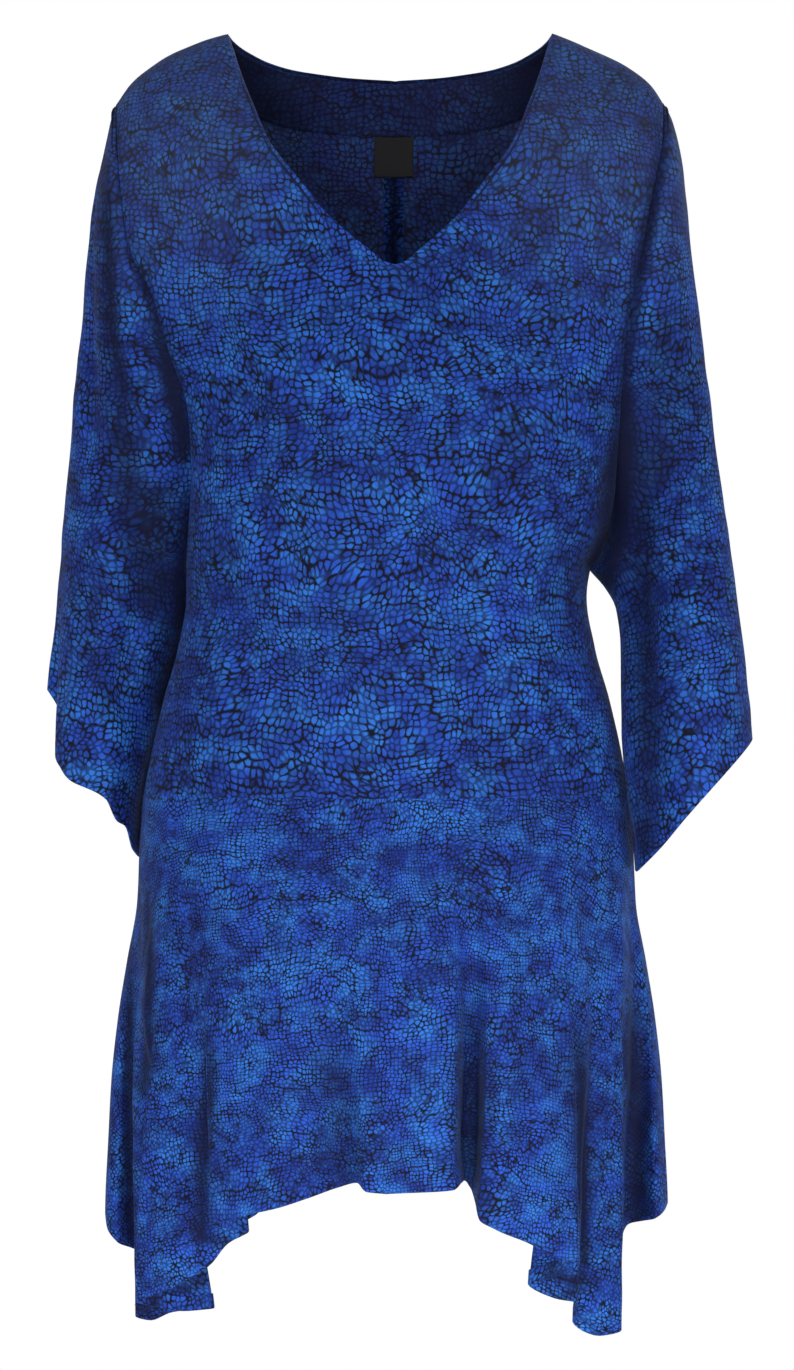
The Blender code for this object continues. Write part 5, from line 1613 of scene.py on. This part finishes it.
def sew(name, lines, settings):
    """A plain mesh of stitches along the lines."""
    mesh = bpy.data.meshes.new(name + "_lines")
    starts = np.cumsum([0] + [len(line) for line in lines])
    edges = [
        (i, i + 1) for start, end in zip(starts[:-1], starts[1:]) for i in range(start, end - 1)
    ]
    mesh.from_pydata(np.concatenate(lines).tolist(), edges, [])
    draft = add_object(name + "_lines", mesh)
    thread = bpy.data.materials.get("sewing thread")
    thread = thread or thread_material("sewing thread", settings.thread_colour)
    sizes = {
        "Pitch": settings.stitch_pitch, "Length": settings.stitch_length,
        "Thickness": settings.thread_thickness,
    }
    tree = bpy.data.node_groups.get("stitches") or stitch_tree(thread, sizes)
    modifier = draft.modifiers.new("stitches", "NODES")
    modifier.node_group = tree
    for item in tree.interface.items_tree:
        if item.in_out == "INPUT" and item.name in sizes:
            modifier[item.identifier] = sizes[item.name]
    graph = bpy.context.evaluated_depsgraph_get()
    made = bpy.data.meshes.new_from_object(draft.evaluated_get(graph))
    made.name = name
    made.shade_smooth()
    bpy.data.objects.remove(draft)
    piece = add_object(name, made)
    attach(piece, "root")
    return piece


# ---- Sizes and colours that a user would change ------------------------------------------------


def size_of(name, description, default):
    return FloatProperty(
        name=name, description=description, default=default, min=0.0, unit="LENGTH"
    )


def share_of(name, description, default):
    return FloatProperty(name=name, description=description, default=default, min=0.0, max=1.0)


def power_of(name, light, default):
    return FloatProperty(name=name, description=f"Of the {light}, in watts", default=default)


def colour_of(name, description, default):
    return FloatVectorProperty(
        name=name, description=description, default=default, subtype="COLOR", min=0.0, max=1.0
    )


class TunicCloth(bpy.types.PropertyGroup):
    thickness: size_of("Thickness", "Of one layer of the jersey", 0.0007)
    fold_room: size_of("Fold room", "Left open inside a turned edge", 0.0002)
    cell_size: size_of("Cell size", "Of the print's crackle, from cell to cell", 0.0046)
    flounce_cell_size: size_of("Flounce cell size", "Of the crackle on the flounce", 0.0029)
    crack_width: size_of("Crack width", "Of the dark lines between the cells", 0.00076)
    rib_width: size_of("Rib width", "From rib to rib of the knit", 0.0006)
    rib_height: size_of("Rib height", "Of the knit's ribs", 0.00003)
    crumple: size_of("Crumple", "Height of the cloth's soft unevenness", 0.0006)
    sheen: share_of("Sheen", "Of the cloth's nap", 0.07)
    fading: share_of("Fading", "Of the print on the wrong side", 0.36)
    # Painted sheen: how far the shoulders' print is greyed.
    shoulder_sheen_paint: share_of("Shoulder dulling", "Of the print, by the dull blue", 0.35)
    wrong_side: colour_of("Wrong side", "Of the cloth behind the print", (0.062, 0.054, 0.115))
    bright_blue: colour_of("Bright blue", "Of the lightest cells", (0.028, 0.175, 0.66))
    violet_blue: colour_of("Violet blue", "Of light cells in violet patches", (0.020, 0.098, 0.58))
    mid_blue: colour_of("Mid blue", "Of the darkest cells", (0.007, 0.026, 0.22))
    crack_colour: colour_of("Crack colour", "Of lines between cells", (0.0022, 0.0028, 0.012))
    # Painted shade: the colour deep in a fold or inside the garment.
    painted_shade_colour: colour_of("Hollow colour", "Deep in a fold", (0.0014, 0.0034, 0.028))
    # Painted sheen: the grey blue laid over the shoulders' print.
    sheen_paint_blue: colour_of("Dull blue", "Of the sheen_painted print on the shoulders", (0.064, 0.073, 0.112))


class TunicTrim(bpy.types.PropertyGroup):
    stitch_pitch: size_of("Stitch pitch", "From stitch to stitch", 0.0031)
    stitch_length: size_of("Stitch length", "Of one stitch", 0.0023)
    thread_thickness: size_of("Thread thickness", "Of the sewing thread", 0.00026)
    hem_inset: size_of("Hem inset", "From a hem's edge to its stitches", 0.0085)
    thread_colour: colour_of("Thread colour", "Of the sewing thread", (0.010, 0.030, 0.16))
    label_colour: colour_of("Label colour", "Of the blank label", (0.010, 0.010, 0.012))
    label_fleck: colour_of("Label fleck", "Of the label's lighter threads", (0.024, 0.024, 0.028))


class TunicStage(bpy.types.PropertyGroup):
    camera_place: FloatVectorProperty(
        name="Camera place", description="Level, and looking at the front",
        default=(0.0079, -3.0, -0.488), subtype="XYZ", unit="LENGTH",
    )
    view_height: size_of("View height", "Seen at the garment's middle", 1.0275)
    floor_drop: size_of("Floor drop", "From the neck points to the floor", 1.42)
    floor_radius: size_of("Floor radius", "Of the round floor", 1.6)
    floor_colour: colour_of("Floor colour", "Of the plain floor", (0.86, 0.86, 0.86))
    key_power: power_of("Key power", "main light", 25.0)
    fill_power: power_of("Fill power", "second light", 35.0)
    low_power: power_of("Low power", "light in front of the hem", 2.6)
    neck_power: power_of("Neck power", "light into the neck", 6.0)
    back_power: power_of("Back power", "light behind", 14.0)
    ambient: FloatProperty(name="Ambient", description="Brightness of the room", default=0.36)


# ---- Making the pieces -------------------------------------------------------------------------


def sew_piece(name, scene):
    """A large piece in its printed cloth, in place of its solid."""
    cloth = scene.tunic_cloth
    surface = tunic_surfaces()[name]
    piece = turned_wall(
        name + "_cloth", surface, cloth.thickness, cloth.fold_room, turned_width(name),
        both_sides(cloth, name.startswith("flounce")),
    )
    declare(piece, name)


def declare(piece, node):
    """Hangs a piece on the root and hides the solid it replaces."""
    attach(piece, "root")
    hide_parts(node)


class TUNIC_OT_body(bpy.types.Operator):
    """Makes the front and both halves of the back"""

    bl_idname = "tunic.body"
    bl_label = "Make the front and back"

    def execute(self, context):
        for name in ("front", "back_left", "back_right"):
            sew_piece(name, context.scene)
        return {"FINISHED"}


class TUNIC_OT_sleeves(bpy.types.Operator):
    """Makes both sleeves"""

    bl_idname = "tunic.sleeves"
    bl_label = "Make the sleeves"

    def execute(self, context):
        for name in ("sleeve_left", "sleeve_right"):
            sew_piece(name, context.scene)
        return {"FINISHED"}


class TUNIC_OT_flounce(bpy.types.Operator):
    """Makes the flounce's front and back"""

    bl_idname = "tunic.flounce"
    bl_label = "Make the flounce"

    def execute(self, context):
        for name in ("flounce_front", "flounce_back"):
            sew_piece(name, context.scene)
        return {"FINISHED"}


class TUNIC_OT_neck(bpy.types.Operator):
    """Makes the back neck facing and the blank label under it"""

    bl_idname = "tunic.neck"
    bl_label = "Make the facing and label"

    def execute(self, context):
        cloth, trim = context.scene.tunic_cloth, context.scene.tunic_trim
        printed = both_sides(cloth)
        satin = satin_cloth("label satin", trim.label_colour, trim.label_fleck)
        for name, slot, surface, thickness, materials in (
            ("neck_facing", "facing_cloth", facing_surface(), FACING_CLOTH, printed[::-1]),
            ("label", "label_cloth", label_surface(), LABEL_CLOTH, [satin, satin]),
        ):
            piece = turned_wall(
                name + "_cloth", surface, thickness, LINING_ROOM,
                lambda points: np.full(len(points), LINING_TURN), materials,
            )
            declare(piece, name)
        return {"FINISHED"}


class TUNIC_OT_stitches(bpy.types.Operator):
    """Sews the rows of stitches along the hems and the facing"""

    bl_idname = "tunic.stitches"
    bl_label = "Sew the stitches"

    def execute(self, context):
        trim = context.scene.tunic_trim
        lift = STITCH_LIFT * trim.thread_thickness
        surfaces = tunic_surfaces()
        for name, pieces in (
            ("flounce_stitches", ("flounce_front", "flounce_back")),
            ("sleeve_stitches", ("sleeve_left", "sleeve_right")),
        ):
            lines = [inset_line(surfaces[piece], trim.hem_inset, lift) for piece in pieces]
            lines = [line[UNSEWN:-UNSEWN] for line in lines]
            sew(name, lines, trim)
        line = inset_line(facing_surface(), FACING_INSET, lift)
        ends = BODICE_PARTS[0] * FACING_SHOULDER_COLUMNS
        sew("facing_stitches", [line[ends:-ends]], trim)
        return {"FINISHED"}


def soft_light(name, place, target, size, spread, power):
    light = bpy.data.lights.new(name, "AREA")
    light.shape = "DISK"
    light.size = size
    light.spread = math.radians(spread)
    light.energy = power
    lamp = add_object(name, light)
    lamp.location = place
    lamp.rotation_euler = (Vector(target) - Vector(place)).to_track_quat("-Z", "Y").to_euler()


WHITE = (1, 1, 1, 1)
ROOM_LIGHT = (0.96, 0.98, 1, 1)


def pale_room(ambient):
    """White where the camera sees it, and dimmer as a light."""
    world = bpy.data.worlds.new("pale room")
    bpy.context.scene.world = world
    world.use_nodes = True
    tree = world.node_tree
    tree.nodes.clear()
    seen = add_node(tree, "ShaderNodeLightPath")
    white = add_node(tree, "ShaderNodeBackground", {"Color": WHITE, "Strength": 1.0})
    dim = add_node(tree, "ShaderNodeBackground", {"Color": ROOM_LIGHT, "Strength": ambient})
    mixed = add_node(tree, "ShaderNodeMixShader", {0: seen, 1: dim, 2: white})
    output = tree.nodes.new("ShaderNodeOutputWorld")
    tree.links.new(mixed.socket, output.inputs["Surface"])


MIDDLE = (0.0, 0.0, -0.5)
# Each light's place, what it is turned to, its width, its spread in degrees and its setting.
LIGHTS = (
    ("key light", (-2.1, -2.5, -1.15), MIDDLE, 1.3, 180, "key_power"),
    ("fill light", (2.4, -2.2, -1.3), MIDDLE, 1.4, 180, "fill_power"),
    ("low light", (0.0, -2.4, -1.15), (0.0, 0.0, -1.0), 0.8, 50, "low_power"),
    ("neck light", (0.1, -2.7, 0.55), (0.0, 0.0, -0.1), 0.8, 180, "neck_power"),
    ("back light", (0.6, 2.6, 0.8), MIDDLE, 1.8, 180, "back_power"),
)
FLOOR_SIDES = 96
FLOOR_NOISE = (6.0, 2.0)  # scale and detail
FLOOR_SHADOW = 0.97  # of the floor's colour, in its darker patches
FLOOR_ROUGHNESS = 0.7
SENSOR_HEIGHT = 36.0
CLIP_START = 0.05  # nearer than this the camera sees nothing


class TUNIC_OT_stage(bpy.types.Operator):
    """Sets up the pale floor, the soft studio light and the camera"""

    bl_idname = "tunic.stage"
    bl_label = "Set the stage"

    def execute(self, context):
        scene = context.scene
        stage = scene.tunic_stage
        mesh = bpy.data.meshes.new("studio_floor")
        turns = np.linspace(0, 2 * np.pi, FLOOR_SIDES + 1)[:-1]
        rim = np.stack([np.cos(turns), np.sin(turns), 0 * turns], axis=1) * stage.floor_radius
        rim[:, 2] = -stage.floor_drop
        mesh.from_pydata(rim.tolist(), [], [tuple(range(FLOOR_SIDES))])
        material, tree = new_tree("pale floor")
        tone = object_place(tree).noise(*FLOOR_NOISE)
        dark = [FLOOR_SHADOW * part for part in stage.floor_colour]
        paint = mixed_colours(tone, dark, stage.floor_colour)
        shade_with(tree, {"Base Color": paint, "Roughness": FLOOR_ROUGHNESS})
        mesh.materials.append(material)
        add_object("studio_floor", mesh)

        for *light, power in LIGHTS:
            soft_light(*light, getattr(stage, power))
        pale_room(stage.ambient)

        lens = bpy.data.cameras.new("camera")
        lens.sensor_fit = "VERTICAL"
        lens.sensor_height = SENSOR_HEIGHT
        lens.lens = SENSOR_HEIGHT * -stage.camera_place[1] / stage.view_height
        lens.clip_start = CLIP_START
        camera = add_object("camera", lens)
        camera.location = stage.camera_place
        camera.rotation_euler = (math.radians(90), 0, 0)
        scene.camera = camera
        scene.view_settings.view_transform = "Standard"
        scene.view_settings.look = "None"
        return {"FINISHED"}


class TUNIC_PT_panel(bpy.types.Panel):
    bl_label = "Tunic top"
    bl_idname = "TUNIC_PT_panel"
    bl_space_type = "VIEW_3D"
    bl_region_type = "UI"
    bl_category = "Tunic"

    def draw(self, context):
        layout = self.layout
        for operator in OPERATORS:
            layout.operator(operator.bl_idname)
        for group in ("tunic_cloth", "tunic_trim", "tunic_stage"):
            settings = getattr(context.scene, group)
            box = layout.box()
            for name in settings.__annotations__:
                box.prop(settings, name)


SETTINGS = {"tunic_cloth": TunicCloth, "tunic_trim": TunicTrim, "tunic_stage": TunicStage}
OPERATORS = (
    TUNIC_OT_body, TUNIC_OT_sleeves, TUNIC_OT_flounce, TUNIC_OT_neck, TUNIC_OT_stitches,
    TUNIC_OT_stage,
)


def register():
    for item in (*SETTINGS.values(), *OPERATORS, TUNIC_PT_panel):
        bpy.utils.register_class(item)
    for name, group in SETTINGS.items():
        setattr(bpy.types.Scene, name, PointerProperty(type=group))


def unregister():
    for name in SETTINGS:
        delattr(bpy.types.Scene, name)
    for item in (TUNIC_PT_panel, *reversed(OPERATORS), *SETTINGS.values()):
        bpy.utils.unregister_class(item)


def main():
    register()
    bpy.ops.tunic.body()
    bpy.ops.tunic.sleeves()
    bpy.ops.tunic.flounce()
    bpy.ops.tunic.neck()
    bpy.ops.tunic.stitches()
    bpy.ops.tunic.stage()


if __name__ == "__main__":
    main()
